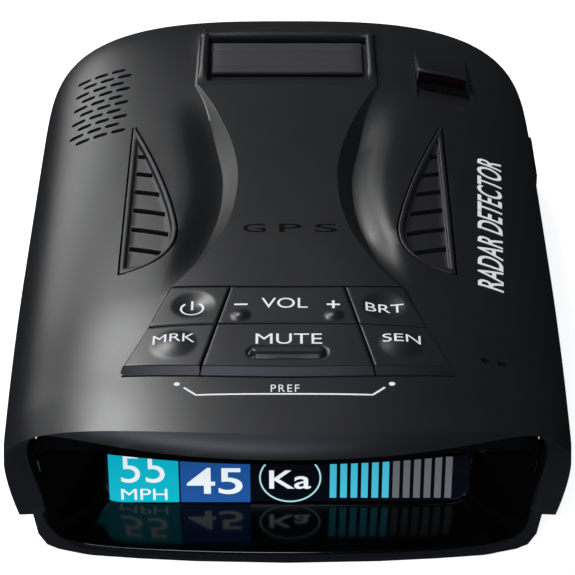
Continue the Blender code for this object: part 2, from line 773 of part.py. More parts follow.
def bezel_rings(grow=0.0):
    """Sections of the display recess, from its front rim back to the window."""
    outer = rounded_ring(RIM_HALF, RIM_LOW_Z, RIM_HIGH_Z, 6.0, rim_y, grow, RIM_TAPER)
    inner = rounded_ring(RIM_HALF - 0.5, RIM_LOW_Z + 0.35, RIM_HIGH_Z - RIM_ROLL, 6.0,
                         lambda x, z: rim_y(x, z) + 1.4 * clamp((z - 8.0) / 12.0), grow, RIM_TAPER)
    back = rounded_ring(DISPLAY_HALF, DISPLAY_LOW_Z, DISPLAY_HIGH_Z, 10.0, lambda x, z: DISPLAY_Y, grow)
    return [outer, inner, back]


def bezel_envelope(name):
    """Solid that clears the display recess's outside by the usual gap."""
    grow = BEZEL_WALL + GAP
    outer, inner, back = bezel_rings(grow)
    forward = [(x, y - 12.0, z) for x, y, z in outer]
    behind_rim = [(x, y + grow, z) for x, y, z in inner]
    deep = [(x, y + grow + 0.5, z) for x, y, z in back]
    return loft(name, [forward, outer, behind_rim, deep])


def make_display(parts, cutters):
    """Glossy recess, clear window, lit panel and its bracket."""
    bezel = loft("display_bezel", bezel_rings(), caps=(False, False))
    turn_outward(bezel, (0.0, DISPLAY_Y - 6.0, (DISPLAY_LOW_Z + DISPLAY_HIGH_Z) / 2.0))
    place(bezel, parts, "gloss_black")
    add_modifier(bezel, "SOLIDIFY", thickness=BEZEL_WALL * MM, offset=1.0, use_even_offset=False)
    window_back = DISPLAY_Y + WINDOW_THICKNESS
    rings = [rounded_ring(DISPLAY_HALF - GAP, DISPLAY_LOW_Z + GAP, DISPLAY_HIGH_Z - GAP, 10.0,
                          lambda x, z, y=depth: y) for depth in (DISPLAY_Y - 0.2, window_back)]
    place(loft("display_window", rings), parts, "display_glass")
    panel_front = window_back + GAP
    panel_back = panel_front + PANEL_THICKNESS
    place(box("display_panel", (-DISPLAY_HALF, panel_front, DISPLAY_LOW_Z),
              (DISPLAY_HALF, panel_back, DISPLAY_HIGH_Z)), parts, "panel_blue")
    front = panel_back + GAP
    half = DISPLAY_HALF + BRACKET_MARGIN
    bracket = box("display_bracket", (-half, front, DISPLAY_LOW_Z - 1.0),
                  (half, front + BRACKET_THICKNESS, DISPLAY_HIGH_Z + BRACKET_MARGIN))
    place(bracket, parts, "steel")
    cut(bracket, box("bracket_window", (-10.0, front - 1.0, DISPLAY_LOW_Z + 2.0),
                     (10.0, front + 5.0, DISPLAY_HIGH_Z - 2.0)), cutters)


# --- Keypad -------------------------------------------------------------------------------

def side_x(y, back_half, front_half):
    """Distance from the middle of a line that runs straight from the keypad's back to its front."""
    t = (KEYPAD_BACK_Y - y) / (KEYPAD_BACK_Y - KEYPAD_FRONT_Y)
    return blend(back_half, front_half, t)


def keypad_outline(grow):
    """Corners of the keypad in plan."""
    back = KEYPAD_BACK_HALF + grow
    front = KEYPAD_FRONT_HALF + grow
    back_y = KEYPAD_BACK_Y + grow
    front_y = KEYPAD_FRONT_Y - grow
    return [(-back, back_y), (-front, front_y), (front, front_y), (back, back_y)]


def key_solid(name, low_edge, high_edge, near_y, far_y):
    """Key cap between two slanted edges, with a soft raised middle."""
    rows = []
    for row in range(KEY_STEPS + 1):
        v = row / KEY_STEPS
        y = blend(near_y, far_y, v)
        left = low_edge(y)
        right = high_edge(y)
        top = []
        for column in range(KEY_STEPS + 1):
            u = column / KEY_STEPS
            x = blend(left, right, u)
            swell = KEY_BUMP * (math.sin(math.pi * u) * math.sin(math.pi * v)) ** 2
            top.append((x, y, domed_height(x, y, 0.0) + swell))
        base_z = crown_height(y) - KEY_THICKNESS
        bottom = [(right, y, base_z), (left, y, base_z)]
        rows.append(top + bottom)
    return loft(name, rows)


def make_keypad(parts):
    """Six keys, their switches and the board they stand on."""
    half_gap = GAP / 2.0

    def column(sign):
        return lambda y: sign * side_x(y, COLUMN_BACK_HALF, COLUMN_FRONT_HALF)

    def outer(sign):
        return lambda y: sign * side_x(y, KEYPAD_BACK_HALF, KEYPAD_FRONT_HALF)

    upper = (KEY_ROW_Y + half_gap, KEYPAD_BACK_Y)
    lower = (KEYPAD_FRONT_Y, KEY_ROW_Y - half_gap)
    cells = (("power_key", outer(-1), column(-1), 0.0, -half_gap, upper),
             ("mark_key", outer(-1), column(-1), 0.0, -half_gap, lower),
             ("volume_rocker", column(-1), column(1), half_gap, -half_gap, upper),
             ("mute_key", column(-1), column(1), half_gap, -half_gap, lower),
             ("brightness_key", column(1), outer(1), half_gap, 0.0, upper),
             ("sensitivity_key", column(1), outer(1), half_gap, 0.0, lower))
    for name, left, right, left_in, right_in, (near, far) in cells:
        key = key_solid(name, lambda y, e=left, d=left_in: e(y) + d,
                        lambda y, e=right, d=right_in: e(y) + d, near, far)
        middle_y = (near + far) / 2.0
        middle_x = (left(middle_y) + right(middle_y)) / 2.0
        pivot_z = crown_height(middle_y) - ROCKER_DROP
        place(key, parts, "black_rubber", (middle_x, middle_y, pivot_z))
        switch_z = KEY_BOARD_TOP_Z + GAP
        half = SWITCH_SIZE / 2.0
        switch = box(name + "_switch", (middle_x - half, middle_y - half, switch_z),
                     (middle_x + half, middle_y + half, switch_z + SWITCH_HEIGHT))
        place(switch, parts, "steel")
    board = outline_solid("key_board", keypad_outline(-1.5), KEY_BOARD_TOP_Z - KEY_BOARD_THICKNESS,
                          KEY_BOARD_TOP_Z)
    place(board, parts, "board_green")


# --- Vents --------------------------------------------------------------------------------

def vent_bulge_x(y):
    """Distance from the middle to a vent's curved inner edge."""
    s = clamp((VENT_FAR_Y - y) / VENT_LENGTH)
    if s < VENT_PEAK:
        fullness = 1.0 - (1.0 - s / VENT_PEAK) ** 1.31
    else:
        fullness = (1.0 - (1.0 - (1.0 - s) / (1.0 - VENT_PEAK)) ** 2.6) ** 0.6
    return VENT_EDGE_X - VENT_BULGE * fullness


def vent_solid(name, side, grow, above, below):
    """D-shaped solid that follows the case's top, between two distances from its surface."""
    rows = []
    near_y = VENT_FAR_Y - VENT_LENGTH
    shares = (0.03, 0.1, 0.2, 0.32, 0.45, 0.58, 0.7, 0.8, 0.88, 0.94, 0.98, 0.995)
    for place_along, share in enumerate(shares):
        y = blend(VENT_FAR_Y, near_y, share)
        shift = grow if place_along == 0 else -grow if place_along == len(shares) - 1 else 0.0
        inner = vent_bulge_x(y) - grow
        outer = VENT_EDGE_X + grow
        across = [blend(inner, outer, part / 4.0) for part in range(5)]
        top = [(side * x, y + shift, surface_height(x, y) + above) for x in across]
        bottom = [(side * x, y + shift, surface_height(x, y) - below) for x in reversed(across)]
        rows.append(top + bottom)
    return loft(name, rows)


def make_vents(parts, cutters):
    """Two slotted grilles, left and right of the spine."""
    for side, word in ((-1, "left"), (1, "right")):
        grille = vent_solid(f"vent_grille_{word}", side, 0.0, -0.2, GRILLE_THICKNESS + 0.2)
        place(grille, parts, "satin_black")
        for number in range(VENT_SLOTS):
            y = VENT_FAR_Y - 10.0 - number * VENT_SLOT_PITCH
            inner = vent_bulge_x(y - 2.0) + 1.4
            outer = VENT_EDGE_X - 0.9
            if outer - inner < 1.0:
                continue
            drop = (outer - inner) * math.tan(VENT_SLOT_LEAN)
            half = VENT_SLOT_WIDTH / 2.0
            corners = [(side * outer, y + half), (side * inner, y - drop + half),
                       (side * inner, y - drop - half), (side * outer, y - half)]
            slot = outline_solid(f"vent_slot_{word}_{number + 1}", corners, 15.0, 40.0)
            cut(grille, slot, cutters)


def perforation_cutter():
    """Rows of small slots in the left shoulder, every second row moved along by part of the pitch."""
    cutter = bpy.data.meshes.new("perforations")
    body = bmesh.new()
    for row in range(PERF_ROWS):
        y = PERF_FAR_Y - row * PERF_ROW_PITCH
        for column in range(PERF_PER_ROW):
            x = PERF_LEFT_X + column * PERF_PITCH + (PERF_SHIFT if row % 2 else 0.0)
            made = bmesh.ops.create_cube(body, size=1.0)
            for vertex in made["verts"]:
                vertex.co.x = (x + vertex.co.x * PERF_LENGTH) * MM
                vertex.co.y = (y + vertex.co.y * PERF_WIDTH) * MM
                vertex.co.z = (23.0 + vertex.co.z * 14.0) * MM
    body.to_mesh(cutter)
    body.free()
    return bpy.data.objects.new("perforations", cutter)


# --- Dock, sensors and sockets ------------------------------------------------------------

def make_dock(parts, cutters):
    """Pocket that takes the windscreen bracket, and the pad on its floor."""
    rows = []
    bottom_z = DOCK_FLOOR_Z - DOCK_DEPTH
    for part in range(7):
        y = blend(DOCK_NEAR_Y, DOCK_FAR_Y, part / 6.0)
        across = [blend(-DOCK_HALF, DOCK_HALF, step / 8.0) for step in range(9)]
        top = [(x, y, surface_height(x * 0.98, y)) for x in across]
        rows.append(top + [(DOCK_HALF, y, bottom_z), (-DOCK_HALF, y, bottom_z)])
    tray = loft("dock_tray", rows)
    place(tray, parts, "satin_black")
    lip_y = DOCK_FAR_Y - DOCK_LIP
    slot_near = DOCK_FAR_Y - DOCK_SLOT_NEAR
    slot_far = DOCK_FAR_Y - DOCK_SLOT_FAR
    slot_z = DOCK_FLOOR_Z - DOCK_SLOT_DEPTH
    roof_z = surface_height(0.0, DOCK_FAR_Y) - DOCK_ROOF
    ramp_y = DOCK_NEAR_Y + DOCK_NEAR_WALL
    clear_z = BODY_HEIGHT + 6.0
    profile = [(ramp_y, clear_z), (ramp_y, surface_height(0.0, ramp_y) - 0.2),
               (ramp_y + DOCK_RAMP, DOCK_FLOOR_Z), (slot_near, DOCK_FLOOR_Z), (slot_near, slot_z),
               (slot_far, slot_z), (slot_far, roof_z), (lip_y, roof_z), (lip_y, clear_z)]
    half = DOCK_HALF - DOCK_RIM
    pocket = loft("dock_pocket", [[(x, y, z) for y, z in profile] for x in (-half, half)])
    cut(tray, pocket, cutters)
    pad_low = DOCK_FLOOR_Z + GAP
    pad_half = half - PAD_MARGIN
    pad = box("dock_pad", (-pad_half, ramp_y + DOCK_RAMP + PAD_MARGIN, pad_low),
              (pad_half, slot_near - PAD_MARGIN, pad_low + PAD_THICKNESS))
    place(pad, parts, "black_rubber")


def sensor_roof(x, y):
    """Height of the rear sensor's hood, which runs out into the case toward the far end."""
    t = clamp((y - SENSOR_NEAR_Y) / SENSOR_LENGTH)
    return surface_height(x, y) + blend(SENSOR_RISE, 0.2, t)


def make_rear_sensor(parts, cutters):
    """Hood on the right shoulder with a dark lens that faces back into the car."""
    low_x = SENSOR_X - SENSOR_WIDTH / 2.0
    high_x = SENSOR_X + SENSOR_WIDTH / 2.0
    rows = []
    for part in range(5):
        y = SENSOR_NEAR_Y + SENSOR_LENGTH * part / 4.0
        across = [blend(low_x, high_x, step / 4.0) for step in range(5)]
        top = [(x, y, sensor_roof(x, y)) for x in across]
        rows.append(top + [(high_x, y, SENSOR_FOOT_Z), (low_x, y, SENSOR_FOOT_Z)])
    hood = loft("rear_sensor_hood", rows)
    place(hood, parts, "satin_black")
    left = low_x + LENS_MARGIN
    right = high_x - LENS_MARGIN
    low_z = surface_height(SENSOR_X, SENSOR_NEAR_Y) - 1.2
    drop = sensor_roof(left, SENSOR_NEAR_Y) - sensor_roof(right, SENSOR_NEAR_Y)
    high_left = sensor_roof(left, SENSOR_NEAR_Y) - LENS_MARGIN
    high_right = high_left - drop
    section = [(left, low_z), (right, low_z - drop * 0.5), (right, high_right), (left, high_left)]
    pocket = loft("rear_lens_pocket", [[(x, y, z) for x, z in section]
                                       for y in (SENSOR_NEAR_Y - 1.0, SENSOR_NEAR_Y + LENS_THICKNESS + GAP)])
    cut(hood, pocket, cutters)
    middle_x = (left + right) / 2.0
    middle_z = sum(z for _, z in section) / 4.0
    smaller = []
    for x, z in section:
        smaller.append((x - math.copysign(GAP, x - middle_x), z - math.copysign(GAP, z - middle_z)))
    lens = loft("rear_sensor_lens", [[(x, y, z) for x, z in smaller]
                                     for y in (SENSOR_NEAR_Y + 0.1, SENSOR_NEAR_Y + LENS_THICKNESS)])
    place(lens, parts, "dark_lens")
    receiver = cylinder("rear_sensor_receiver", RECEIVER_RADIUS,
                        (SENSOR_X, SENSOR_NEAR_Y + 5.0, SENSOR_FOOT_Z - GAP - RECEIVER_HEIGHT / 2.0),
                        RECEIVER_HEIGHT)
    place(receiver, parts, "dark_lens")


def far_face_y(x, z):
    """Depth of the case's far end at a place on it."""
    across = (abs(x) / (BODY_WIDTH / 2.0)) ** CROSS_POWER
    return FAR_Y - FAR_CURVE * (1.0 - (1.0 - across) ** (1.0 / FAR_POWER)) - tuck(z)


def make_far_lens(parts):
    """Dark lens that follows the windscreen end, and the receiver behind it."""
    heights = [blend(FAR_LENS_LOW_Z, FAR_LENS_HIGH_Z, share) for share in (0.0, 0.5, 1.0)]
    rows = []
    for step in range(9):
        x = blend(-FAR_LENS_HALF, FAR_LENS_HALF, step / 8.0)
        outside = [(x, far_face_y(x, z) - FAR_LENS_INSET, z) for z in heights]
        inside = [(x, y - FAR_LENS_THICKNESS, z) for x, y, z in reversed(outside)]
        rows.append(outside + inside)
    place(loft("front_laser_lens", rows), parts, "dark_lens")
    low_x, low_z = RECEIVER_LOW
    high_x = low_x + RECEIVER_SIZE
    receiver_y = far_face_y(high_x, low_z) - FAR_LENS_INSET - FAR_LENS_THICKNESS - GAP
    receiver = box("front_laser_receiver", (low_x, receiver_y - RECEIVER_DEPTH, low_z),
                   (high_x, receiver_y, low_z + RECEIVER_SIZE))
    place(receiver, parts, "dark_lens")


def make_sockets(parts, cutters):
    """Power socket in the right side; earphone and data sockets in the left side."""
    high_x = BODY_WIDTH / 2.0 + SOCKET_PROUD
    low_z = SEAM_Z
    socket = box("power_socket", (high_x - SOCKET_DEPTH, SOCKET_Y - SOCKET_WIDTH / 2.0, low_z),
                 (high_x, SOCKET_Y + SOCKET_WIDTH / 2.0, low_z + SOCKET_HEIGHT))
    place(socket, parts, "socket_black")
    round_edges(socket, 0.6)
    middle_z = low_z + SOCKET_HEIGHT / 2.0
    cut(socket, box("power_port", (high_x - SOCKET_PORT_DEPTH, SOCKET_Y - SOCKET_PORT_WIDTH / 2.0,
                                   middle_z - SOCKET_PORT_HEIGHT / 2.0),
                    (high_x + 2.0, SOCKET_Y + SOCKET_PORT_WIDTH / 2.0,
                     middle_z + SOCKET_PORT_HEIGHT / 2.0)), cutters)
    face_x = -BODY_WIDTH / 2.0 + tuck(SIDE_JACK_Z) + 0.4
    audio = cylinder("audio_jack", AUDIO_RADIUS, (face_x + SIDE_JACK_DEPTH / 2.0, AUDIO_Y, SIDE_JACK_Z),
                     SIDE_JACK_DEPTH, "X")
    place(audio, parts, "socket_black")
    cut(audio, cylinder("audio_bore", AUDIO_BORE, (face_x, AUDIO_Y, SIDE_JACK_Z),
                        2.0 * SIDE_JACK_DEPTH - 4.0, "X", 16), cutters)
    usb = box("usb_socket", (face_x, USB_Y - USB_WIDTH / 2.0, SIDE_JACK_Z - USB_HEIGHT / 2.0),
              (face_x + SIDE_JACK_DEPTH / 2.0, USB_Y + USB_WIDTH / 2.0, SIDE_JACK_Z + USB_HEIGHT / 2.0))
    place(usb, parts, "steel")
    port_half_width = USB_WIDTH / 2.0 - USB_SHELL
    port_half_height = USB_HEIGHT / 2.0 - USB_SHELL
    cut(usb, box("usb_port", (face_x - 2.0, USB_Y - port_half_width, SIDE_JACK_Z - port_half_height),
                 (face_x + SIDE_JACK_DEPTH / 2.0 - 1.0, USB_Y + port_half_width,
                  SIDE_JACK_Z + port_half_height)), cutters)


# --- Inside -------------------------------------------------------------------------------

def make_boards(parts):
    """Main board, positioning module and aerial, and the light sensor."""
    board = box("main_board", (-BOARD_HALF, BOARD_NEAR_Y, BOARD_TOP_Z - BOARD_THICKNESS),
                (BOARD_HALF, BOARD_FAR_Y, BOARD_TOP_Z))
    place(board, parts, "board_green")
    half = GPS_SIZE / 2.0
    can_half = half + GPS_CAN_MARGIN
    can_low = BOARD_TOP_Z + GAP
    can_high = can_low + GPS_CAN_HEIGHT
    place(box("gps_module", (-can_half, GPS_Y - can_half, can_low),
              (can_half, GPS_Y + can_half, can_high)), parts, "zinc")
    patch_low = can_high + GAP
    place(box("gps_antenna", (-half, GPS_Y - half, patch_low),
              (half, GPS_Y + half, patch_low + GPS_PATCH_HEIGHT)), parts, "ceramic")
    low = min(x for x, _ in LIGHT_PITS) - 1.0
    high = max(x for x, _ in LIGHT_PITS) + 1.0
    pit_y = LIGHT_PITS[0][1] - LIGHT_SENSOR_SHIFT
    place(box("light_sensor", (low, pit_y - LIGHT_SENSOR_REACH, LIGHT_SENSOR_Z),
              (high, pit_y + LIGHT_SENSOR_REACH, LIGHT_SENSOR_Z + LIGHT_SENSOR_HEIGHT)), parts, "dark_lens")


def make_radar(parts):
    """Horn that looks through the far end, and the microwave block behind it."""
    far_y = HORN_FAR_Y
    rows = []
    for (width, height), y in ((HORN_THROAT, far_y - HORN_LENGTH), (HORN_THROAT, far_y - HORN_LENGTH + 3.0),
                               (HORN_APERTURE, far_y)):
        half_x = width / 2.0
        half_z = height / 2.0
        rows.append([(-half_x, y, HORN_Z - half_z), (half_x, y, HORN_Z - half_z),
                     (half_x, y, HORN_Z + half_z), (-half_x, y, HORN_Z + half_z)])
    horn = loft("horn_antenna", rows, caps=(False, False))
    turn_outward(horn, (0.0, far_y - HORN_LENGTH / 2.0, HORN_Z))
    place(horn, parts, "zinc")
    shell(horn, HORN_WALL)
    block_far = far_y - HORN_LENGTH - GAP
    place(box("microwave_module", (-14.0, block_far - MICROWAVE_LENGTH, BOARD_TOP_Z + GAP),
              (14.0, block_far, HORN_Z + HORN_THROAT[1] / 2.0 + 1.0)), parts, "zinc")


def make_speaker(parts):
    """Small loudspeaker under the right grille: frame, cone and magnet."""
    center = (SPEAKER_X, SPEAKER_Y, 0.0)
    low = SPEAKER_LOW_Z + MAGNET_HEIGHT + GAP
    high = low + SPEAKER_HEIGHT
    radius = SPEAKER_RADIUS
    frame = turned("speaker_frame", [(radius - 2.0, high), (radius, high), (radius, high - 1.2),
                                     (MAGNET_RADIUS + 1.0, low), (MAGNET_RADIUS - 1.5, low),
                                     (MAGNET_RADIUS - 1.5, low + 0.9), (MAGNET_RADIUS + 0.4, low + 0.9),
                                     (radius - 2.0, high - 1.4)])
    place(frame, parts, "steel", center, drawn_about_origin=True)
    cone = turned("speaker_cone", [(radius - 2.3, high - 0.2), (radius - 2.3, high - 0.8),
                                   (3.2, low + 1.6), (0.0, low + 2.4), (0.0, low + 3.0), (3.2, low + 2.4)])
    place(cone, parts, "paper_cone", center, drawn_about_origin=True)
    magnet = cylinder("speaker_magnet", MAGNET_RADIUS,
                      (SPEAKER_X, SPEAKER_Y, SPEAKER_LOW_Z + MAGNET_HEIGHT / 2.0), MAGNET_HEIGHT)
    place(magnet, parts, "steel")


def make_fasteners(parts):
    """Four screws that hold the covers together, and the blank label."""
    for number, (x, y) in enumerate(SCREW_PLACES, start=1):
        head_high = SCREW_HEAD_Z + SCREW_HEAD_HEIGHT
        screw = turned(f"screw_{number}", [(0.0, SCREW_TOP_Z), (SCREW_RADIUS, SCREW_TOP_Z - 0.8),
                                           (SCREW_RADIUS, head_high), (SCREW_HEAD_RADIUS, head_high),
                                           (SCREW_HEAD_RADIUS, SCREW_HEAD_Z), (0.0, SCREW_HEAD_Z)], sides=16)
        place(screw, parts, "steel", (x, y, 0.0), drawn_about_origin=True)
    label_low = 0.1
    place(box("rating_label", (-LABEL_SIZE[0] / 2.0, LABEL_Y - LABEL_SIZE[1] / 2.0, label_low),
              (LABEL_SIZE[0] / 2.0, LABEL_Y + LABEL_SIZE[1] / 2.0, label_low + LABEL_THICKNESS)),
          parts, "label_grey")


def main():
    """Build the detector."""
    clear_scene()
    parts, cutters = make_collections()
    make_top_cover(parts, cutters)
    make_bottom_cover(parts, cutters)
    make_display(parts, cutters)
    make_keypad(parts)
    make_vents(parts, cutters)
    make_dock(parts, cutters)
    make_rear_sensor(parts, cutters)
    make_far_lens(parts)
    make_sockets(parts, cutters)
    make_boards(parts)
    make_radar(parts)
    make_speaker(parts)
    make_fasteners(parts)


main()
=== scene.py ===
"""Radar detector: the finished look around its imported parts.

All shapes are drawn in millimetres in the frame of the parts, and scaled to metres as each mesh
is made. +X is the driver's right, +Y points at the windscreen and +Z is up.
"""

from __future__ import annotations

import logging
import math
from dataclasses import dataclass, field
from enum import Enum
from typing import Callable, Sequence, Union

import bmesh
import bpy
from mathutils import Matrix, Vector

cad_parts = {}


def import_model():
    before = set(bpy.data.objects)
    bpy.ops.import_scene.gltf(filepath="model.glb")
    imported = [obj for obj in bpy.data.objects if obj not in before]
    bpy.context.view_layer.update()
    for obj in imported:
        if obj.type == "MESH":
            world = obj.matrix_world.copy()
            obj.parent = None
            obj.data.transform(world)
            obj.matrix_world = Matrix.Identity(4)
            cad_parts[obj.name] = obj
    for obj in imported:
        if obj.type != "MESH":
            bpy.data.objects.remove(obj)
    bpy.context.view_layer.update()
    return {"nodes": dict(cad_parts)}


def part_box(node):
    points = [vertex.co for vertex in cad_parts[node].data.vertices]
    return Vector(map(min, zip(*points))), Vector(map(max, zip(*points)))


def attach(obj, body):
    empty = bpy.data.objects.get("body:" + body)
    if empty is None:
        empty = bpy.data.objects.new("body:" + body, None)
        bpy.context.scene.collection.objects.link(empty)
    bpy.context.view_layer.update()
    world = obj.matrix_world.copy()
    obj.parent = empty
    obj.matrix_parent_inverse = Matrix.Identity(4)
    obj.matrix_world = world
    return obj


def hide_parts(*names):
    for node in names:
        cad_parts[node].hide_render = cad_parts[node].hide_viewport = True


LOG = logging.getLogger("radar_detector")
MM = 0.001
CASE = "case"
CLEAR_Z = 36.0  # height in millimetres that is above every part of the case, where cutters end

Place = tuple[float, float]
Point = tuple[float, float, float]
Row = list[Point]
Color = tuple[float, float, float]
Surface = Callable[[float, float], float]


def clamp(value: float, low: float = 0.0, high: float = 1.0) -> float:
    """Keep a value between two limits."""
    return max(low, min(high, value))


def mix(a: float, b: float, t: float) -> float:
    """Go from a to b as t goes from 0 to 1."""
    return a + (b - a) * t


def ease(t: float) -> float:
    """Smooth step from 0 to 1."""
    t = clamp(t)
    return t * t * (3.0 - 2.0 * t)


def spread(low: float, high: float, count: int) -> list[float]:
    """Evenly spaced values from low to high, both included."""
    return [mix(low, high, step / (count - 1)) for step in range(count)]


def rounded_spread(low: float, high: float, radius: float, count: int) -> list[float]:
    """Values from low to high that crowd together near both ends, where an edge is rounded.

    Args:
        low: First value.
        high: Last value.
        radius: Length of the rounded stretch at each end.
        count: Number of values between the two rounded stretches.

    Returns:
        The values in rising order.
    """
    steps = [radius * (1.0 - math.cos(math.pi / 2.0 * share)) for share in (0.0, 0.34, 0.67, 1.0)]
    start = [low + step for step in steps]
    end = [high - step for step in reversed(steps)]
    middle = spread(start[-1], end[0], count + 2)[1:-1]
    return start + middle + end


def fillet_drop(distance: float, radius: float) -> float:
    """How far a surface falls at a distance from a rounded edge.

    Args:
        distance: Distance in from the edge.
        radius: Radius of the rounded edge.

    Returns:
        The fall, 0 past the rounding.
    """
    if distance >= radius:
        return 0.0
    inset = radius - clamp(distance, 0.0, radius)
    return radius - math.sqrt(max(radius * radius - inset * inset, 0.0))


def scaled(color: Color, factor: float) -> Color:
    """The same colour, lighter or darker."""
    return tuple(value * factor for value in color)


# --- Shader maths -----------------------------------------------------------------------------

Number = Union[float, "Value"]


class Value:
    """One output of a material's nodes. An expression on values adds its Math nodes."""

    def __init__(self, shader: "Shader", socket: bpy.types.NodeSocket) -> None:
        """Wrap a socket of a shader."""
        self.shader = shader
        self.socket = socket

    def _math(self, operation: str, first: Number, second: Number) -> "Value":
        """Add a Math node for one operation."""
        node = self.shader.node("ShaderNodeMath", {"operation": operation}, {0: first, 1: second})
        return Value(self.shader, node.outputs[0])

    def __add__(self, other: Number) -> "Value":
        """Sum."""
        return self._math("ADD", self, other)

    def __radd__(self, other: Number) -> "Value":
        """Sum with a number on the left."""
        return self._math("ADD", other, self)

    def __sub__(self, other: Number) -> "Value":
        """Difference."""
        return self._math("SUBTRACT", self, other)

    def __rsub__(self, other: Number) -> "Value":
        """Difference from a number on the left."""
        return self._math("SUBTRACT", other, self)

    def __mul__(self, other: Number) -> "Value":
        """Product."""
        return self._math("MULTIPLY", self, other)

    def __rmul__(self, other: Number) -> "Value":
        """Product with a number on the left."""
        return self._math("MULTIPLY", other, self)

    def over(self, edge: float) -> "Value":
        """1 where the value is above an edge, 0 elsewhere."""
        return self._math("GREATER_THAN", self, edge)

    def limited(self) -> "Value":
        """The value kept between 0 and 1."""
        node = self.shader.node("ShaderNodeClamp", {}, {"Value": self})
        return Value(self.shader, node.outputs[0])


class Shader:
    """A material with one Principled shader and the nodes that feed it."""

    def __init__(self, name: str) -> None:
        """Make an empty material.

        Args:
            name: The finish's name.
        """
        self.material = bpy.data.materials.new(name)
        self.material.use_nodes = True
        self.tree = self.material.node_tree
        self.surface = self.tree.nodes["Principled BSDF"]

    def node(self, kind: str, settings: dict[str, object],
             values: dict[Union[int, str], object]) -> bpy.types.Node:
        """Add a node of any type.

        Args:
            kind: The node's type.
            settings: The node's own settings, which are set first.
            values: Numbers, colours or links of its input sockets, by name or place.

        Returns:
            The node.
        """
        made = self.tree.nodes.new(kind)
        for key, setting in settings.items():
            setattr(made, key, setting)
        for key, value in values.items():
            self.feed(made.inputs[key], value)
        return made

    def feed(self, socket: bpy.types.NodeSocket, value: object) -> None:
        """Set a socket to a number or colour, or link an output to it.

        Args:
            socket: The input socket.
            value: Number, colour, expression or output.
        """
        if isinstance(value, Value):
            self.tree.links.new(value.socket, socket)
        elif isinstance(value, bpy.types.NodeSocket):
            self.tree.links.new(value, socket)
        elif isinstance(value, tuple) and len(value) == 3 and socket.type == "RGBA":
            socket.default_value = (*value, 1.0)
        else:
            socket.default_value = value

    def set(self, **inputs: object) -> None:
        """Set or link the Principled shader's sockets, named with underscores for spaces."""
        for name, value in inputs.items():
            self.feed(self.surface.inputs[name.replace("_", " ")], value)

    def place(self) -> bpy.types.NodeSocket:
        """Place on the piece, in the frame of the parts, in metres."""
        return self.node("ShaderNodeTexCoord", {}, {}).outputs["Object"]

    def noise(self, scale: float, detail: float = 2.0, roughness: float = 0.5) -> Value:
        """Noise from 0 to 1, with a scale in repeats per metre."""
        values = {"Vector": self.place(), "Scale": scale, "Detail": detail, "Roughness": roughness}
        made = self.node("ShaderNodeTexNoise", {}, values)
        return Value(self, made.outputs["Fac"])

    def cells(self, scale: float) -> Value:
        """Distance to the nearest cell centre, with a scale in cells per metre."""
        made = self.node("ShaderNodeTexVoronoi", {}, {"Vector": self.place(), "Scale": scale})
        return Value(self, made.outputs["Distance"])

    def edges(self, low: float = 0.52, high: float = 0.60) -> Value:
        """1 on a piece's outer edges, 0 on its flat faces.

        Args:
            low: Pointiness at which an edge begins to count.
            high: Pointiness at which it counts fully.

        Returns:
            The mask.
        """
        point = self.node("ShaderNodeNewGeometry", {}, {}).outputs["Pointiness"]
        made = self.node("ShaderNodeMapRange", {},
                         {"Value": point, "From Min": low, "From Max": high})
        return Value(self, made.outputs[0]).limited()

    def blend(self, share: Number, first: object, second: object) -> bpy.types.NodeSocket:
        """Colour between two colours.

        Args:
            share: 0 for the first colour, 1 for the second.
            first: Colour or output.
            second: Colour or output.

        Returns:
            The blended colour.
        """
        made = self.node("ShaderNodeMix", {"data_type": "RGBA"}, {})
        self.feed(made.inputs[0], share)
        self.feed(made.inputs[6], first)
        self.feed(made.inputs[7], second)
        return made.outputs[2]

    def bump(self, height: Value, depth_mm: float, strength: float) -> bpy.types.NodeSocket:
        """Normal of a surface with a fine relief."""
        made = self.node("ShaderNodeBump", {},
                         {"Height": height, "Distance": depth_mm * MM, "Strength": strength})
        return made.outputs["Normal"]


@dataclass(frozen=True)
class MouldedPlastic:
    """Black plastic with a fine spark-eroded grain, and edges painted lighter: partly wear, partly a
    painted highlight.
    """

    name: str
    slot: str
    color: Color = (0.0135, 0.0138, 0.0150)
    # Edge colour: partly rubbed wear, partly a painted highlight where edges catch light.
    edge_wear_and_highlight: Color = (0.030, 0.031, 0.034)
    roughness: float = 0.35
    roughness_range: float = 0.07
    grain: float = 2600.0
    grain_depth: float = 0.012
    grain_strength: float = 0.22

    def material(self) -> bpy.types.Material:
        """Make the finish's material.

        Returns:
            The material.
        """
        shader = Shader(self.name)
        cloud = shader.noise(55.0, 3.0)
        fine = shader.noise(self.grain, 2.0, 0.6)
        edge = shader.edges()
        shade = shader.blend(cloud, self.color, scaled(self.color, 1.35))
        # Edges painted lighter: partly wear, partly a painted highlight of light caught on the edges.
        shader.set(Base_Color=shader.blend(edge * 0.6, shade, self.edge_wear_and_highlight))
        shader.set(Roughness=(self.roughness + self.roughness_range * (cloud - 0.5)
                              + 0.05 * (fine - 0.5) - 0.06 * edge))
        shader.set(Normal=shader.bump(fine, self.grain_depth, self.grain_strength))
        shader.set(IOR=1.45)
        return shader.material


@dataclass(frozen=True)
class GlossPlastic:
    """Polished dark plastic or glass with faint smears."""

    name: str
    slot: str
    color: Color = (0.0045, 0.0046, 0.0055)
    roughness: float = 0.07
    smear: float = 0.06
    index: float = 1.5

    def material(self) -> bpy.types.Material:
        """Make the finish's material.

        Returns:
            The material.
        """
        shader = Shader(self.name)
        cloud = shader.noise(90.0, 4.0, 0.55)
        streak = shader.noise(420.0, 2.0)
        shader.set(Base_Color=shader.blend(cloud, self.color, scaled(self.color, 1.5)))
        shader.set(Roughness=self.roughness + self.smear * cloud * streak)
        shader.set(Normal=shader.bump(cloud, 0.01, 0.05))
        shader.set(IOR=self.index)
        return shader.material


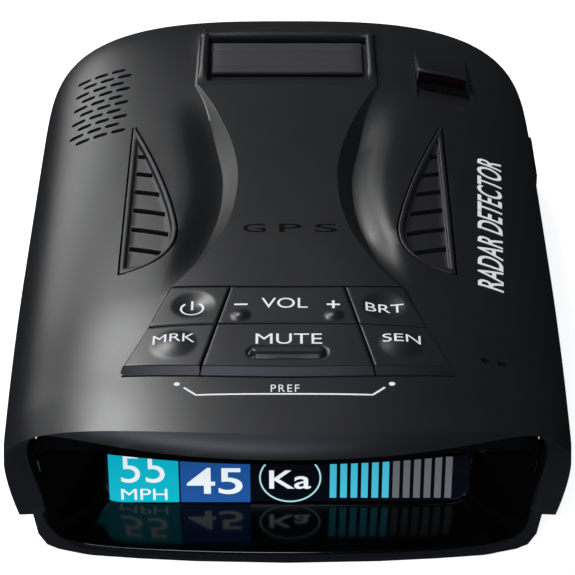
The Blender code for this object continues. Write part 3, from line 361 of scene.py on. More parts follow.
@dataclass(frozen=True)
class Ink:
    """Pad-printed ink with slightly uneven cover, also used as dark letters that paint the shade of a sunk
    mark. A glow above 0 is painted light: the ink gives off light, though nothing lights it from behind.
    """

    name: str
    slot: str
    color: Color = (0.66, 0.67, 0.69)
    # Above 0 this is a painted glow: the ink gives off light of its own, as if lit.
    glow: float = 0.0
    shine: float = 0.4

    def material(self) -> bpy.types.Material:
        """Make the finish's material.

        Returns:
            The material.
        """
        shader = Shader(self.name)
        cover = shader.noise(900.0, 3.0)
        shade = shader.blend(cover, scaled(self.color, 0.86), self.color)
        shader.set(Base_Color=shade)
        shader.set(Roughness=0.55 + 0.15 * cover, Specular_IOR_Level=self.shine)
        shader.set(Normal=shader.bump(cover, 0.01, 0.1))
        # Painted glow: the ink emits its own colour so that it looks lit.
        if self.glow > 0.0:
            shader.set(Emission_Color=shade, Emission_Strength=self.glow)
        return shader.material


@dataclass(frozen=True)
class LitColor:
    """Glowing colour of the display, a little brighter toward its foot."""

    name: str
    slot: str
    color: Color
    glow: float = 1.0
    foot_z: float = 4.5
    head_z: float = 15.0

    def material(self) -> bpy.types.Material:
        """Make the finish's material.

        Returns:
            The material.
        """
        shader = Shader(self.name)
        split = shader.node("ShaderNodeSeparateXYZ", {}, {0: shader.place()})
        rise = shader.node("ShaderNodeMapRange", {},
                           {"Value": split.outputs["Z"], "From Min": self.foot_z * MM,
                            "From Max": self.head_z * MM})
        shade = shader.blend(Value(shader, rise.outputs[0]), self.color,
                             scaled(self.color, 0.78))
        shader.set(Base_Color=(0.01, 0.01, 0.012), Roughness=0.25)
        shader.set(Emission_Color=shade, Emission_Strength=self.glow)
        shader.set(Specular_IOR_Level=0.2)
        return shader.material


@dataclass(frozen=True)
class Metal:
    """Drawn or cast metal with fine directional scratches."""

    name: str
    slot: str
    color: Color = (0.55, 0.55, 0.57)
    roughness: float = 0.32
    scratch: float = 1400.0
    scratch_stretch: float = 0.08

    def material(self) -> bpy.types.Material:
        """Make the finish's material.

        Returns:
            The material.
        """
        shader = Shader(self.name)
        stretched = shader.node("ShaderNodeMapping", {},
                                {"Vector": shader.place(), "Scale": (1.0, self.scratch_stretch, 1.0)})
        lines = shader.node("ShaderNodeTexNoise", {},
                            {"Vector": stretched.outputs[0], "Scale": self.scratch, "Detail": 3.0})
        mark = Value(shader, lines.outputs["Fac"])
        shader.set(Base_Color=shader.blend(mark, scaled(self.color, 0.8), self.color))
        shader.set(Metallic=1.0, Roughness=self.roughness + 0.14 * (mark - 0.5))
        shader.set(Normal=shader.bump(mark, 0.008, 0.2))
        return shader.material


@dataclass(frozen=True)
class CircuitBoard:
    """Solder mask with tracks under it."""

    name: str
    slot: str
    color: Color = (0.015, 0.075, 0.032)
    track: Color = (0.035, 0.15, 0.06)

    def material(self) -> bpy.types.Material:
        """Make the finish's material.

        Returns:
            The material.
        """
        shader = Shader(self.name)
        cells = shader.cells(420.0)
        tracks = (cells - 0.30).over(0.12)
        shader.set(Base_Color=shader.blend(tracks, self.color, self.track))
        shader.set(Roughness=0.38 + 0.12 * shader.noise(300.0))
        shader.set(Normal=shader.bump(tracks, 0.03, 0.35))
        return shader.material


@dataclass(frozen=True)
class DullSolid:
    """Ceramic, paper, rubber or printed film: a matt material with a mottled surface."""

    name: str
    slot: str
    color: Color
    roughness: float = 0.7
    grain: float = 1500.0
    depth: float = 0.03

    def material(self) -> bpy.types.Material:
        """Make the finish's material.

        Returns:
            The material.
        """
        shader = Shader(self.name)
        fine = shader.noise(self.grain, 4.0, 0.6)
        broad = shader.noise(160.0, 3.0)
        shader.set(Base_Color=shader.blend(broad, scaled(self.color, 0.82), self.color))
        shader.set(Roughness=self.roughness + 0.16 * (fine - 0.5))
        shader.set(Normal=shader.bump(fine, self.depth, 0.35))
        return shader.material


class Finish(Enum):
    """Every finish of the detector."""

    CASE_BLACK = MouldedPlastic("case_black", "satin_black")
    GRILLE_BLACK = MouldedPlastic("grille_black", "satin_black", (0.012, 0.012, 0.013), roughness=0.46)
    KEY_BLACK = MouldedPlastic("key_black", "black_rubber", (0.0125, 0.0130, 0.0145), roughness=0.36,
                               grain=3200.0, grain_strength=0.16)
    HOOD_BLACK = MouldedPlastic("hood_black", "satin_black", (0.012, 0.012, 0.013), roughness=0.30)
    PAD_RUBBER = DullSolid("pad_rubber", "black_rubber", (0.018, 0.018, 0.020), 0.62, 2200.0)
    RECESS_GLOSS = GlossPlastic("recess_gloss", "gloss_black", (0.0010, 0.0010, 0.0012), roughness=0.09,
                                index=1.36)
    SCREEN_GLASS = GlossPlastic("screen_glass", "display_glass", (0.004, 0.006, 0.010), roughness=0.05)
    LENS_DARK = GlossPlastic("lens_dark", "dark_lens", (0.006, 0.0022, 0.0030), roughness=0.05)
    SOCKET_BLACK = MouldedPlastic("socket_black", "socket_black", (0.011, 0.011, 0.012), roughness=0.38)
    # Legend ink with a painted glow, which makes the printed words, lines and dots look lit.
    LEGEND_INK = Ink("legend_ink_painted_glow", "label_grey", glow=0.62)
    # Dark, nearly shineless letters in the case's satin black: a painted shade for the sunk aerial mark.
    SHADE_INK = Ink("sunk_mark_painted_shade", "satin_black", color=(0.0012, 0.0012, 0.0014), shine=0.04)
    TILE_CYAN = LitColor("tile_cyan", "panel_blue", (0.0, 0.48, 0.62))
    TILE_BLUE = LitColor("tile_blue", "panel_blue", (0.010, 0.085, 0.33))
    BAR_CYAN = LitColor("bar_cyan", "panel_blue", (0.06, 0.52, 0.70))
    BAR_GREY = LitColor("bar_grey", "panel_blue", (0.13, 0.14, 0.155))
    DIGIT_WHITE = LitColor("digit_white", "panel_blue", (0.86, 0.92, 0.96), glow=1.05)
    RING_CYAN = LitColor("ring_cyan", "panel_blue", (0.46, 0.82, 0.88))
    BOARD = CircuitBoard("solder_mask", "board_green")
    ZINC = Metal("cast_zinc", "zinc", roughness=0.36)
    STEEL = Metal("plated_steel", "steel", color=(0.47, 0.47, 0.49), roughness=0.28)
    GOLD = Metal("contact_gold", "steel", color=(0.78, 0.56, 0.22), roughness=0.25)
    CERAMIC = DullSolid("aerial_ceramic", "ceramic", (0.62, 0.58, 0.50), 0.5, 900.0)
    PAPER = DullSolid("paper_cone", "paper_cone", (0.05, 0.05, 0.05), 0.85, 1800.0, 0.06)
    LABEL = DullSolid("label_film", "label_grey", (0.33, 0.33, 0.34), 0.5, 700.0, 0.01)

    def material(self) -> bpy.types.Material:
        """The finish's material, made once."""
        return bpy.data.materials.get(self.value.name) or self.value.material()


# --- Meshes -----------------------------------------------------------------------------------

class Solid:
    """Collects points in millimetres and faces, and turns them into a mesh object."""

    def __init__(self) -> None:
        """Start empty."""
        self.points: list[Point] = []
        self.faces: list[tuple[int, ...]] = []

    def add(self, points: Sequence[Point]) -> list[int]:
        """Add points and return their places in the list."""
        start = len(self.points)
        self.points.extend(points)
        return list(range(start, len(self.points)))

    def strip(self, first: Sequence[int], second: Sequence[int], closed: bool = False) -> None:
        """Fill between two rows that have the same number of points.

        Args:
            first: Places of the first row's points.
            second: Places of the second row's points.
            closed: Whether the rows are rings.
        """
        count = len(first)
        for a in range(count if closed else count - 1):
            b = (a + 1) % count
            self.faces.append((first[a], first[b], second[b], second[a]))

    def loft(self, rows: Sequence[Row], closed: bool = True,
             caps: tuple[bool, bool] = (True, True)) -> None:
        """Skin a run of sections.

        Args:
            rows: Sections with the same number of points.
            closed: Whether each section is a closed ring.
            caps: Whether the first and the last section are filled.
        """
        places = [self.add(row) for row in rows]
        for first, second in zip(places, places[1:]):
            self.strip(first, second, closed)
        if caps[0]:
            self.faces.append(tuple(reversed(places[0])))
        if caps[1]:
            self.faces.append(tuple(places[-1]))

    def plate(self, outline: Sequence[Place], low: float, high: float) -> None:
        """Give a flat outline a thickness between two heights."""
        self.loft([[(x, y, z) for x, y in outline] for z in (low, high)])

    def cube(self, low: Point, high: Point) -> None:
        """Box between two corners, for openings that are cut square."""
        outline = [(low[0], low[1]), (high[0], low[1]), (high[0], high[1]), (low[0], high[1])]
        self.plate(outline, low[2], high[2])

    def rod(self, center: Point, radius: float, length: float, axis: int, sides: int = 32) -> None:
        """Round bar with its middle at a point, along X (0), Y (1) or Z (2).

        Args:
            center: Its middle.
            radius: Its radius.
            length: Its length.
            axis: 0, 1 or 2 for X, Y or Z.
            sides: Number of its sides.
        """
        rows = []
        for end in (-0.5, 0.5):
            row = []
            for side in range(sides):
                angle = 2.0 * math.pi * side / sides
                offset = [radius * math.cos(angle), radius * math.sin(angle)]
                offset.insert(axis, end * length)
                row.append(tuple(center[part] + offset[part] for part in range(3)))
            rows.append(row)
        self.loft(rows)

    def object(self, name: str) -> bpy.types.Object:
        """Make the mesh object, with doubled points joined and faces turned outward.

        Args:
            name: Name of the object.

        Returns:
            The object, linked to the scene.
        """
        mesh = bpy.data.meshes.new(name)
        mesh.from_pydata([tuple(value * MM for value in point) for point in self.points], [], self.faces)
        body = bmesh.new()
        body.from_mesh(mesh)
        bmesh.ops.remove_doubles(body, verts=body.verts, dist=1e-7)
        bmesh.ops.recalc_face_normals(body, faces=body.faces)
        body.to_mesh(mesh)
        body.free()
        made = bpy.data.objects.new(name, mesh)
        bpy.context.scene.collection.objects.link(made)
        return made


def add_modifier(target: bpy.types.Object, kind: str, **settings: object) -> bpy.types.Modifier:
    """Add a modifier and set its values.

    Args:
        target: The mesh object.
        kind: The modifier's type.
        **settings: Its values by name.

    Returns:
        The modifier.
    """
    modifier = target.modifiers.new(kind.lower(), kind)
    for key, value in settings.items():
        setattr(modifier, key, value)
    return modifier


def settle(target: bpy.types.Object) -> None:
    """Apply an object's modifiers to its mesh.

    Args:
        target: The mesh object.
    """
    bpy.context.view_layer.update()
    evaluated = target.evaluated_get(bpy.context.evaluated_depsgraph_get())
    mesh = bpy.data.meshes.new_from_object(evaluated)
    target.modifiers.clear()
    target.data = mesh


def carve(target: bpy.types.Object, cutter: Solid, name: str) -> None:
    """Cut a piece with a solid, and leave nothing of the cutter behind.

    Args:
        target: The piece that is cut.
        cutter: What is taken away from it.
        name: Name of the cutter while it exists.
    """
    tool = cutter.object(name)
    add_modifier(target, "BOOLEAN", operation="DIFFERENCE", solver="MANIFOLD", object=tool)
    settle(target)
    bpy.data.objects.remove(tool, do_unlink=True)


def face_away_from(piece: bpy.types.Object, place: Point) -> None:
    """Make an open surface face away from a place.

    Args:
        piece: The open surface.
        place: The place, in millimetres.
    """
    center = Vector(place) * MM
    facing = sum(face.area * face.normal.dot(face.center - center) for face in piece.data.polygons)
    if facing < 0.0:
        piece.data.flip_normals()


def finish_piece(piece: bpy.types.Object, finish: Finish, body: str = CASE,
                 stands_for: Sequence[str] = (), edge_angle: float = 32.0) -> None:
    """Dress a piece, smooth it, and join it to the body that it moves with.

    Args:
        piece: The mesh object.
        finish: Its finish.
        body: The body of the assembly that it rides on.
        stands_for: Parts that it is shown in place of.
        edge_angle: Edges sharper than this, in degrees, stay crisp.
    """
    piece.data.materials.clear()
    piece.data.materials.append(finish.material())
    for polygon in piece.data.polygons:
        polygon.use_smooth = True
    piece.data.set_sharp_from_angle(angle=math.radians(edge_angle))
    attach(piece, body)
    if stands_for:
        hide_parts(*stands_for)
    LOG.info("piece %s on %s: %d faces", piece.name, body, len(piece.data.polygons))


# --- Case shape -------------------------------------------------------------------------------

@dataclass(frozen=True)
class CaseShape:
    """Outer surface of the case. Sizes are in millimetres."""

    length: float = 134.0
    width: float = 84.8
    height: float = 30.4
    front_y: float = -66.0
    wall: float = 1.8
    waist_z: float = 16.0
    seam_z: float = 6.6
    skirt_tuck: float = 1.7
    far_curve: float = 48.0
    far_power: float = 5.0
    cross_power: float = 3.0
    narrowing: float = 0.9
    crown_y: float = -8.0
    crown_fall: float = 2.2
    crown_reach: float = 60.0
    bow: float = 7.5
    bow_power: float = 2.2
    rise: float = 0.9
    low_rise: float = 0.2
    valley_depth: float = 1.9
    spine_waist_y: float = -2.0
    spine_waist_half: float = 8.0
    keypad_back_half: float = 17.5
    keypad_front_half: float = 24.4
    dock_half: float = 15.4
    keypad_back: float = 32.9
    keypad_front: float = 13.0
    dock_end: float = 16.3
    dock_length: float = 22.5
    crest_waist: float = 16.0
    crest_far: float = 6.2
    crest_near: float = 3.4
    side_steps: int = 26
    far_steps: int = 22

    @property
    def far_y(self) -> float:
        """Tip of the far end."""
        return self.front_y + self.length

    @property
    def keypad_back_y(self) -> float:
        """Back line of the keypad."""
        return self.front_y + self.keypad_back

    @property
    def keypad_front_y(self) -> float:
        """Front line of the keypad."""
        return self.front_y + self.keypad_front

    @property
    def dock_far_y(self) -> float:
        """Far line of the dock."""
        return self.far_y - self.dock_end

    @property
    def dock_near_y(self) -> float:
        """Near line of the dock, where the spine ends."""
        return self.dock_far_y - self.dock_length

    def straight_half_width(self, y: float) -> float:
        """Half width at the waist, before the far end rounds in."""
        toward_front = clamp((-10.0 - y) / 50.0, 0.0, 2.0)
        return self.width / 2.0 - self.narrowing * toward_front ** 2

    def far_fraction(self, y: float) -> float:
        """0 where the far end starts to round in, 1 at its tip."""
        return clamp((y - (self.far_y - self.far_curve)) / self.far_curve)

    def half_width(self, y: float) -> float:
        """Half width at the waist."""
        fullness = 1.0 - self.far_fraction(y) ** self.far_power
        return self.straight_half_width(y) * fullness ** (1.0 / self.cross_power)

    def crown_height(self, y: float) -> float:
        """Height along the middle."""
        return self.height - self.crown_fall * ((y - self.crown_y) / self.crown_reach) ** 2

    def spine_half(self, y: float) -> float:
        """Half width of the raised spine's flat top.

        Args:
            y: Place along the case.

        Returns:
            The half width.
        """
        if y <= self.keypad_back_y:
            t = (self.keypad_back_y - y) / (self.keypad_back_y - self.keypad_front_y)
            return mix(self.keypad_back_half, self.keypad_front_half, t)
        if y <= self.spine_waist_y:
            t = (y - self.spine_waist_y) / (self.keypad_back_y - self.spine_waist_y)
            return mix(self.spine_waist_half, self.keypad_back_half, t ** 2.4)
        t = clamp((y - self.spine_waist_y) / (self.dock_near_y - self.spine_waist_y))
        return mix(self.spine_waist_half, self.dock_half, t ** 1.7)

    def valley_amount(self, y: float) -> float:
        """1 where the valleys beside the spine are deepest, 0 past their ends."""
        return ease((self.dock_near_y - y) / 22.0) * ease((y - self.keypad_back_y) / 16.0)

    def valley_foot(self, y: float) -> float:
        """Distance from the middle to the foot of the spine's side."""
        return self.spine_half(y) + mix(0.5, 2.4, self.valley_amount(y))

    def crest_half(self, y: float) -> float:
        """Distance from the middle to the soft ridge outside each valley."""
        toward_far = self.crest_far * clamp((y + 5.0) / 41.0) ** 1.4
        toward_near = self.crest_near * clamp((-5.0 - y) / 26.0) ** 1.6
        return max(self.crest_waist + toward_far + toward_near, self.valley_foot(y) + 1.5)

    def plateau_rise(self, y: float) -> float:
        """How far the spine and the keypad stand above the shoulders."""
        share = ease((y - self.keypad_front_y) / (self.keypad_back_y - self.keypad_front_y))
        return mix(self.rise, self.low_rise, share)

    def plateau_amount(self, y: float) -> float:
        """1 along the spine, 0 beside the keypad and past the dock."""
        near = clamp((y - self.keypad_back_y) / 1.5 + 1.0)
        far = clamp((self.dock_far_y + 4.0 - y) / 4.0)
        return near * far

    def domed(self, x: float, y: float, below: float) -> float:
        """Height of a rounded surface a distance below the spine's."""
        across = clamp(abs(x) / self.straight_half_width(y))
        fullness = clamp(1.0 - across ** self.cross_power - self.far_fraction(y) ** self.far_power)
        return self.waist_z + (self.crown_height(y) - below - self.waist_z) * math.sqrt(fullness)

    def top(self, x: float, y: float) -> float:
        """Height of the top, with the spine and the valleys beside it.

        Args:
            x: Distance to the right of the middle.
            y: Place along the case.

        Returns:
            The height.
        """
        distance = abs(x)
        spine = self.spine_half(y)
        foot = self.valley_foot(y)
        crest = self.crest_half(y)
        height = self.domed(x, y, self.plateau_rise(y))
        rise = self.plateau_rise(y) * self.plateau_amount(y)
        dip = self.valley_depth * self.valley_amount(y)
        if distance <= spine:
            return height + rise
        if distance <= foot:
            return height + mix(rise, -dip, (distance - spine) / (foot - spine))
        return height - dip * (1.0 - ease((distance - foot) / (crest - foot)))

    def hood_bow(self, x: float) -> float:
        """How far the hood's front edge falls back from its middle."""
        share = clamp(abs(x) / (self.width / 2.0 - self.narrowing), 0.0, 1.1)
        return self.bow * share ** self.bow_power

    def cap_point(self, x: float, y: float) -> Point:
        """Point on the top. The hood's rows bow back toward the sides."""
        bow_start = self.keypad_front_y - 1.0
        share = clamp((bow_start - y) / (bow_start - self.front_y))
        return (x, y + self.hood_bow(x) * share, self.top(x, y))

    def tuck(self, z: float) -> float:
        """How far the side leans in at a height below the waist."""
        return self.skirt_tuck * clamp((self.waist_z - z) / (self.waist_z - self.seam_z)) ** 1.6

    def outward(self, x: float, y: float) -> Place:
        """Direction in plan that leads straight out of the case at a point of its waist.

        Args:
            x: Distance to the right of the middle.
            y: Place along the case.

        Returns:
            The direction, of length 1.
        """
        half = self.straight_half_width(y)
        across = math.copysign(self.cross_power * (abs(x) / half) ** (self.cross_power - 1.0) / half, x)
        along = self.far_power * self.far_fraction(y) ** (self.far_power - 1.0) / self.far_curve
        size = math.hypot(across, along)
        return (across / size, along / size)

    def columns(self, y: float) -> list[float]:
        """Places across the case at which its top is drawn, closest together along its edges.

        Args:
            y: Place along the case.

        Returns:
            The places from left to right.
        """
        width = self.half_width(y)
        pinch = width / self.straight_half_width(y)
        spine = self.spine_half(y) * pinch
        foot = self.valley_foot(y) * pinch
        crest = self.crest_half(y) * pinch
        right = [spine * share for share in (0.14, 0.28, 0.42, 0.55, 0.67, 0.78, 0.88)]
        right += [spine - 0.45 * pinch, spine - 0.12 * pinch, spine]
        right += [mix(spine, foot, share) for share in (0.2, 0.5, 0.8, 1.0)]
        right += [foot + 0.3 * pinch]
        right += [mix(foot + 0.3 * pinch, crest, share) for share in (0.25, 0.5, 0.75, 1.0)]
        start = math.asin(clamp((crest / width) ** 1.5))
        for step in range(1, self.side_steps + 1):
            angle = mix(start, math.pi / 2.0, step / self.side_steps)
            right.append(width * math.sin(angle) ** (2.0 / 3.0))
        return [-value for value in reversed(right)] + [0.0] + right

    def rows(self) -> list[float]:
        """Places along the case at which its top is drawn, from the hood to the far end.

        Returns:
            The places in rising order.
        """
        front = [self.front_y + step for step in (0.0, 0.25, 0.7, 1.6)]
        places = front + spread(self.front_y + 3.0, self.keypad_front_y, 8)
        places += spread(self.keypad_front_y, self.keypad_back_y - 1.5, 9)[1:]
        places += [self.keypad_back_y - 0.75]
        places += spread(self.keypad_back_y, self.dock_near_y, 50)
        places += spread(self.dock_near_y, self.dock_far_y, 14)[1:]
        start = math.asin(self.far_fraction(self.dock_far_y) ** 2.5)
        last = math.radians(88.5)
        for step in range(1, self.far_steps + 1):
            angle = mix(start, last, step / self.far_steps)
            places.append(self.far_y - self.far_curve + self.far_curve * math.sin(angle) ** 0.4)
        return places


@dataclass
class TopCover:
    """Upper shell: top, far end, sides down to the seam, and the hood's front band."""

    shape: CaseShape
    gap: float = 0.25
    band_middle_z: float = 12.0
    band_share_x: float = 0.86
    band_share_z: float = 0.70
    band_lean: float = 0.3
    band_slope: float = -1.7
    side_steps: int = 12
    slot_rows: int = 10
    slots_per_row: int = 3
    slot_row_pitch: float = 2.47
    slot_pitch: float = 3.04
    slot_length: float = 2.5
    slot_width: float = 1.15
    slot_shift: float = 1.2
    slot_margin: float = 6.7
    slot_start: float = 29.2
    pinhole_radius: float = 0.62

    def build(self, recess: "DisplayRecess", keypad: "Keypad", vents: "Vents",
              sensor: "RearSensor") -> None:
        """Build the shell with its openings.

        Args:
            recess: The display recess under the hood.
            keypad: The keypad in the spine.
            vents: The two grilles.
            sensor: The rear sensor on the right shoulder.
        """
        cover = self._skin().object("case_top_shell")
        face_away_from(cover, (0.0, 0.0, self.shape.seam_z))
        add_modifier(cover, "SOLIDIFY", thickness=self.shape.wall * MM, offset=-1.0,
                     use_even_offset=False)
        settle(cover)
        carve(cover, recess.envelope(), "recess_cutter")
        carve(cover, self._openings(keypad, vents, sensor), "opening_cutter")
        carve(cover, sensor.scoop(), "scoop_cutter")
        finish_piece(cover, Finish.CASE_BLACK, stands_for=("top_cover",), edge_angle=38.0)

    def _skin(self) -> Solid:
        """Open outer surface of the shell.

        Returns:
            The surface.
        """
        shape = self.shape
        skin = Solid()
        cap_rows = [[shape.cap_point(x, y) for x in shape.columns(y)] for y in shape.rows()]
        cap = [skin.add(row) for row in cap_rows]
        for first, second in zip(cap, cap[1:]):
            skin.strip(first, second)
        waist = self._round_the_back(cap_rows)
        level = self._round_the_back(cap)
        left_edge = [level[0]]
        right_edge = [level[-1]]
        for step in range(1, self.side_steps + 1):
            z = mix(shape.waist_z, shape.seam_z, step / self.side_steps)
            inset = shape.tuck(z)
            points = []
            for x, y, waist_z in waist:
                out_x, out_y = shape.outward(x, y)
                drop = min(z, mix(waist_z, z, step / self.side_steps))
                points.append((x - out_x * inset, y - out_y * inset, drop))
            lower = skin.add(points)
            skin.strip(level, lower)
            level = lower
            left_edge.insert(0, level[0])
            right_edge.append(level[-1])
        self._add_band(skin, left_edge + cap[0][1:-1] + right_edge)
        return skin

    def _round_the_back(self, rows: Sequence[list]) -> list:
        """Run of a grid's edge: up its left side, along its last row and down its right side."""
        return [row[0] for row in rows] + rows[-1][1:] + [row[-1] for row in reversed(rows[:-1])]

    def _add_band(self, skin: Solid, crease: list[int]) -> None:
        """Add the hood's front band, which leans in from the front edge.

        Args:
            skin: The surface that gets the band.
            crease: Places of the points along the front edge.
        """
        level = crease
        for share in (0.05, 0.14, 0.3, 0.5, 0.7, 0.85, 0.94, 1.0):
            row = []
            for place in crease:
                x, y, z = skin.points[place]
                low = self.band_middle_z + (z - self.band_middle_z) * self.band_share_z
                band_z = low if z > self.band_middle_z else z
                bulge = 0.35 * math.sin(math.pi * share) * clamp((z - self.band_middle_z) / 6.0)
                upper = ease((z - 19.0) / 5.0)
                lean = mix(self.band_lean, self.band_slope, upper) * share
                narrowed = mix(x, x * self.band_share_x, share)
                row.append((narrowed, y + lean - bulge, mix(z, band_z, share)))
            lower = skin.add(row)
            skin.strip(level, lower)
            level = lower

    def _openings(self, keypad: "Keypad", vents: "Vents", sensor: "RearSensor") -> Solid:
        """Solids of every opening in the shell, none of which touch each other.

        Args:
            keypad: The keypad in the spine.
            vents: The two grilles.
            sensor: The rear sensor.

        Returns:
            The solids together.
        """
        shape = self.shape
        tool = Solid()
        tool.plate(keypad.outline(self.gap), 20.0, CLEAR_Z)
        half = shape.dock_half + 0.12
        tool.cube((-half, shape.dock_near_y - 0.1, 20.0), (half, shape.dock_far_y + 0.12, CLEAR_Z))
        for side in (-1, 1):
            tool.plate(vents.outline(side, self.gap), 15.0, CLEAR_Z)
        low_x = sensor.low_x - 0.1
        tool.cube((low_x, sensor.near_y - 0.05, 18.0),
                  (low_x + sensor.width + 0.2, sensor.near_y + sensor.length + 0.1, CLEAR_Z))
        self._add_slots(tool)
        self._add_side_openings(tool)
        for x, y in ((shape.keypad_front_half + 4.6, shape.front_y + 18.9),
                     (shape.keypad_front_half + 7.1, shape.front_y + 19.0)):
            tool.rod((x, y, shape.top(x, y) + 1.2), self.pinhole_radius, 4.0, 2)
        return tool

    def _add_slots(self, tool: Solid) -> None:
        """Add the rows of small slots in the left shoulder, each with round ends.

        Args:
            tool: Solid that the openings are added to.
        """
        radius = self.slot_width / 2.0
        reach = self.slot_length / 2.0 - radius
        for row in range(self.slot_rows):
            y = self.shape.far_y - self.slot_start - row * self.slot_row_pitch
            shift = self.slot_shift if row % 2 else 0.0
            for column in range(self.slots_per_row):
                x = self.slot_margin - self.shape.width / 2.0 + column * self.slot_pitch + shift
                outline = []
                for end, start in ((1, -90.0), (-1, 90.0)):
                    for step in range(7):
                        angle = math.radians(start + 30.0 * step)
                        outline.append((x + end * reach + radius * math.cos(angle),
                                        y + radius * math.sin(angle)))
                tool.plate(outline, 16.0, 32.0)

    def _add_side_openings(self, tool: Solid) -> None:
        """Add the openings for the sockets and for the windscreen lens.

        Args:
            tool: Solid that the openings are added to.
        """
        shape = self.shape
        for node, outside in (("power_socket", 1), ("audio_jack", -1), ("usb_socket", -1)):
            low, high = (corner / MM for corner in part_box(node))
            reach = shape.width / 2.0 + 3.0
            inner = (low.x if outside > 0 else high.x) + outside
            near_x, far_x = sorted((inner, outside * reach))
            tool.cube((near_x, low.y - self.gap, low.z - self.gap),
                      (far_x, high.y + self.gap, high.z + self.gap))
        low, high = (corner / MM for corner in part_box("front_laser_lens"))
        tool.cube((low.x - self.gap, low.y - 0.4, low.z - self.gap),
                  (high.x + self.gap, shape.far_y + 3.0, high.z + self.gap))


@dataclass
class DisplayRecess:
    """Glossy recess under the hood, the bonded screen at its back and what the screen shows."""

    shape: CaseShape
    wall: float = 0.8
    gap: float = 0.25
    screen_half: float = 27.4
    low_z: float = 4.3
    high_z: float = 17.0
    rim_half: float = 36.6
    rim_low_z: float = 2.6
    rim_high_z: float = 22.9
    rim_power: float = 9.0
    taper: float = 0.004
    brow: float = 3.3
    lip_bow: float = 2.4
    ring_points: int = 176
    glass_depth: float = 13.0
    screen_power: float = 10.0

    @property
    def screen_y(self) -> float:
        """Depth of the screen's face."""
        return self.shape.front_y + self.glass_depth

    def _ring(self, half_x: float, low_z: float, high_z: float, power: float,
              depth: Surface, grow: float = 0.0, taper: float = 0.0) -> Row:
        """Closed ring with rounded corners in X and Z, at the depth that the function gives.

        Args:
            half_x: Half of its width.
            low_z: Its lowest height.
            high_z: Its highest height.
            power: How square its corners are.
            depth: Depth at a place across and a height.
            grow: How much larger than the part itself, all round.
            taper: How much it narrows for each millimetre below the waist.

        Returns:
            The ring's points.
        """
        middle = (low_z + high_z) / 2.0
        half_z = (high_z - low_z) / 2.0 + grow
        ring = []
        for step in range(self.ring_points):
            angle = 2.0 * math.pi * (step + 0.5) / self.ring_points
            cosine = math.cos(angle)
            sine = math.sin(angle)
            reach = (abs(cosine) ** power + abs(sine) ** power) ** (-1.0 / power)
            z = middle + half_z * reach * sine
            x = (half_x + grow) * reach * cosine * (1.0 - taper * max(self.shape.waist_z - z, 0.0))
            ring.append((x, depth(x, z), z))
        return ring

    def _rim_y(self, x: float, z: float) -> float:
        """Depth of the front rim, which leans back from the hood to the lip.

        Args:
            x: Distance to the right of the middle.
            z: Height above the floor.

        Returns:
            The depth.
        """
        share = clamp((z - self.rim_low_z) / (self.rim_high_z - self.rim_low_z))
        hood = self.shape.front_y + 1.2 + self.shape.hood_bow(x)
        lip = self.shape.front_y + 3.6 + self.lip_bow * (x / self.rim_half) ** 2
        return mix(lip, hood, share)

    def _rings(self, roll: float, grow: float = 0.0) -> list[Row]:
        """Sections from the front rim back to the screen, with a brow of the height given.

        Args:
            roll: Height of the brow under the hood.
            grow: How much larger than the part itself, all round.

        Returns:
            The rim, the foot of its roll, and the back.
        """
        outer = self._ring(self.rim_half, self.rim_low_z, self.rim_high_z, self.rim_power, self._rim_y,
                           grow, self.taper)
        inner = self._ring(self.rim_half - 0.5, self.rim_low_z + 0.35, self.rim_high_z - roll,
                           self.rim_power, lambda x, z: self._rim_y(x, z) + 1.4 * clamp((z - 8.0) / 12.0),
                           grow, self.taper)
        back = self._ring(self.screen_half, self.low_z, self.high_z, self.screen_power,
                          lambda x, z: self.screen_y, grow)
        return [outer, inner, back]

    def envelope(self) -> Solid:
        """Solid that clears the recess's outside.

        Returns:
            The solid.
        """
        grow = self.wall + self.gap
        outer, inner, back = self._rings(2.0, grow)
        tool = Solid()
        tool.loft([[(x, y - 12.0, z) for x, y, z in outer], outer,
                   [(x, y + grow, z) for x, y, z in inner],
                   [(x, y + grow + 0.5, z) for x, y, z in back]])
        return tool

    def _between(self, first: Row, second: Row, share: float) -> Row:
        """Section a share of the way from one to another."""
        return [tuple(mix(a, b, share) for a, b in zip(p, q)) for p, q in zip(first, second)]

    def build(self) -> None:
        """Build the recess, the screen and its picture."""
        self._build_recess()
        self._build_screen()
        self._build_picture()

    def _build_recess(self) -> None:
        """Build the four walls of the recess with a rolled front rim."""
        outer, inner, back = self._rings(self.brow)
        skin = Solid()
        rows = [outer]
        rows += [self._between(outer, inner, share) for share in (0.12, 0.5, 0.86)]
        rows += [inner]
        rows += [self._between(inner, back, share) for share in (0.03, 0.1, 0.3, 0.55, 0.8, 0.94)]
        rows += [back]
        skin.loft(rows, caps=(False, False))
        recess = skin.object("display_recess")
        face_away_from(recess, (0.0, self.screen_y - 6.0, (self.low_z + self.high_z) / 2.0))
        add_modifier(recess, "SOLIDIFY", thickness=self.wall * MM, offset=1.0, use_even_offset=False)
        settle(recess)
        finish_piece(recess, Finish.RECESS_GLOSS, stands_for=("display_bezel",), edge_angle=28.0)

    def _build_screen(self) -> None:
        """Build the dark glass, with a small chamfer round its face."""
        rows = []
        for inset, depth in ((0.25, 1.2), (0.25, 0.05), (0.4, -0.08), (0.7, -0.12)):
            rows.append(self._ring(self.screen_half - inset, self.low_z + inset, self.high_z - inset,
                                   self.screen_power, lambda x, z, y=depth: self.screen_y + y))
        glass = Solid()
        glass.loft(rows)
        finish_piece(glass.object("display_screen"), Finish.SCREEN_GLASS, stands_for=("display_window",))

    def _picture_y(self, layer: int) -> float:
        """Depth of one printed layer of the picture, in front of the glass."""
        return self.screen_y - 0.14 - 0.03 * layer

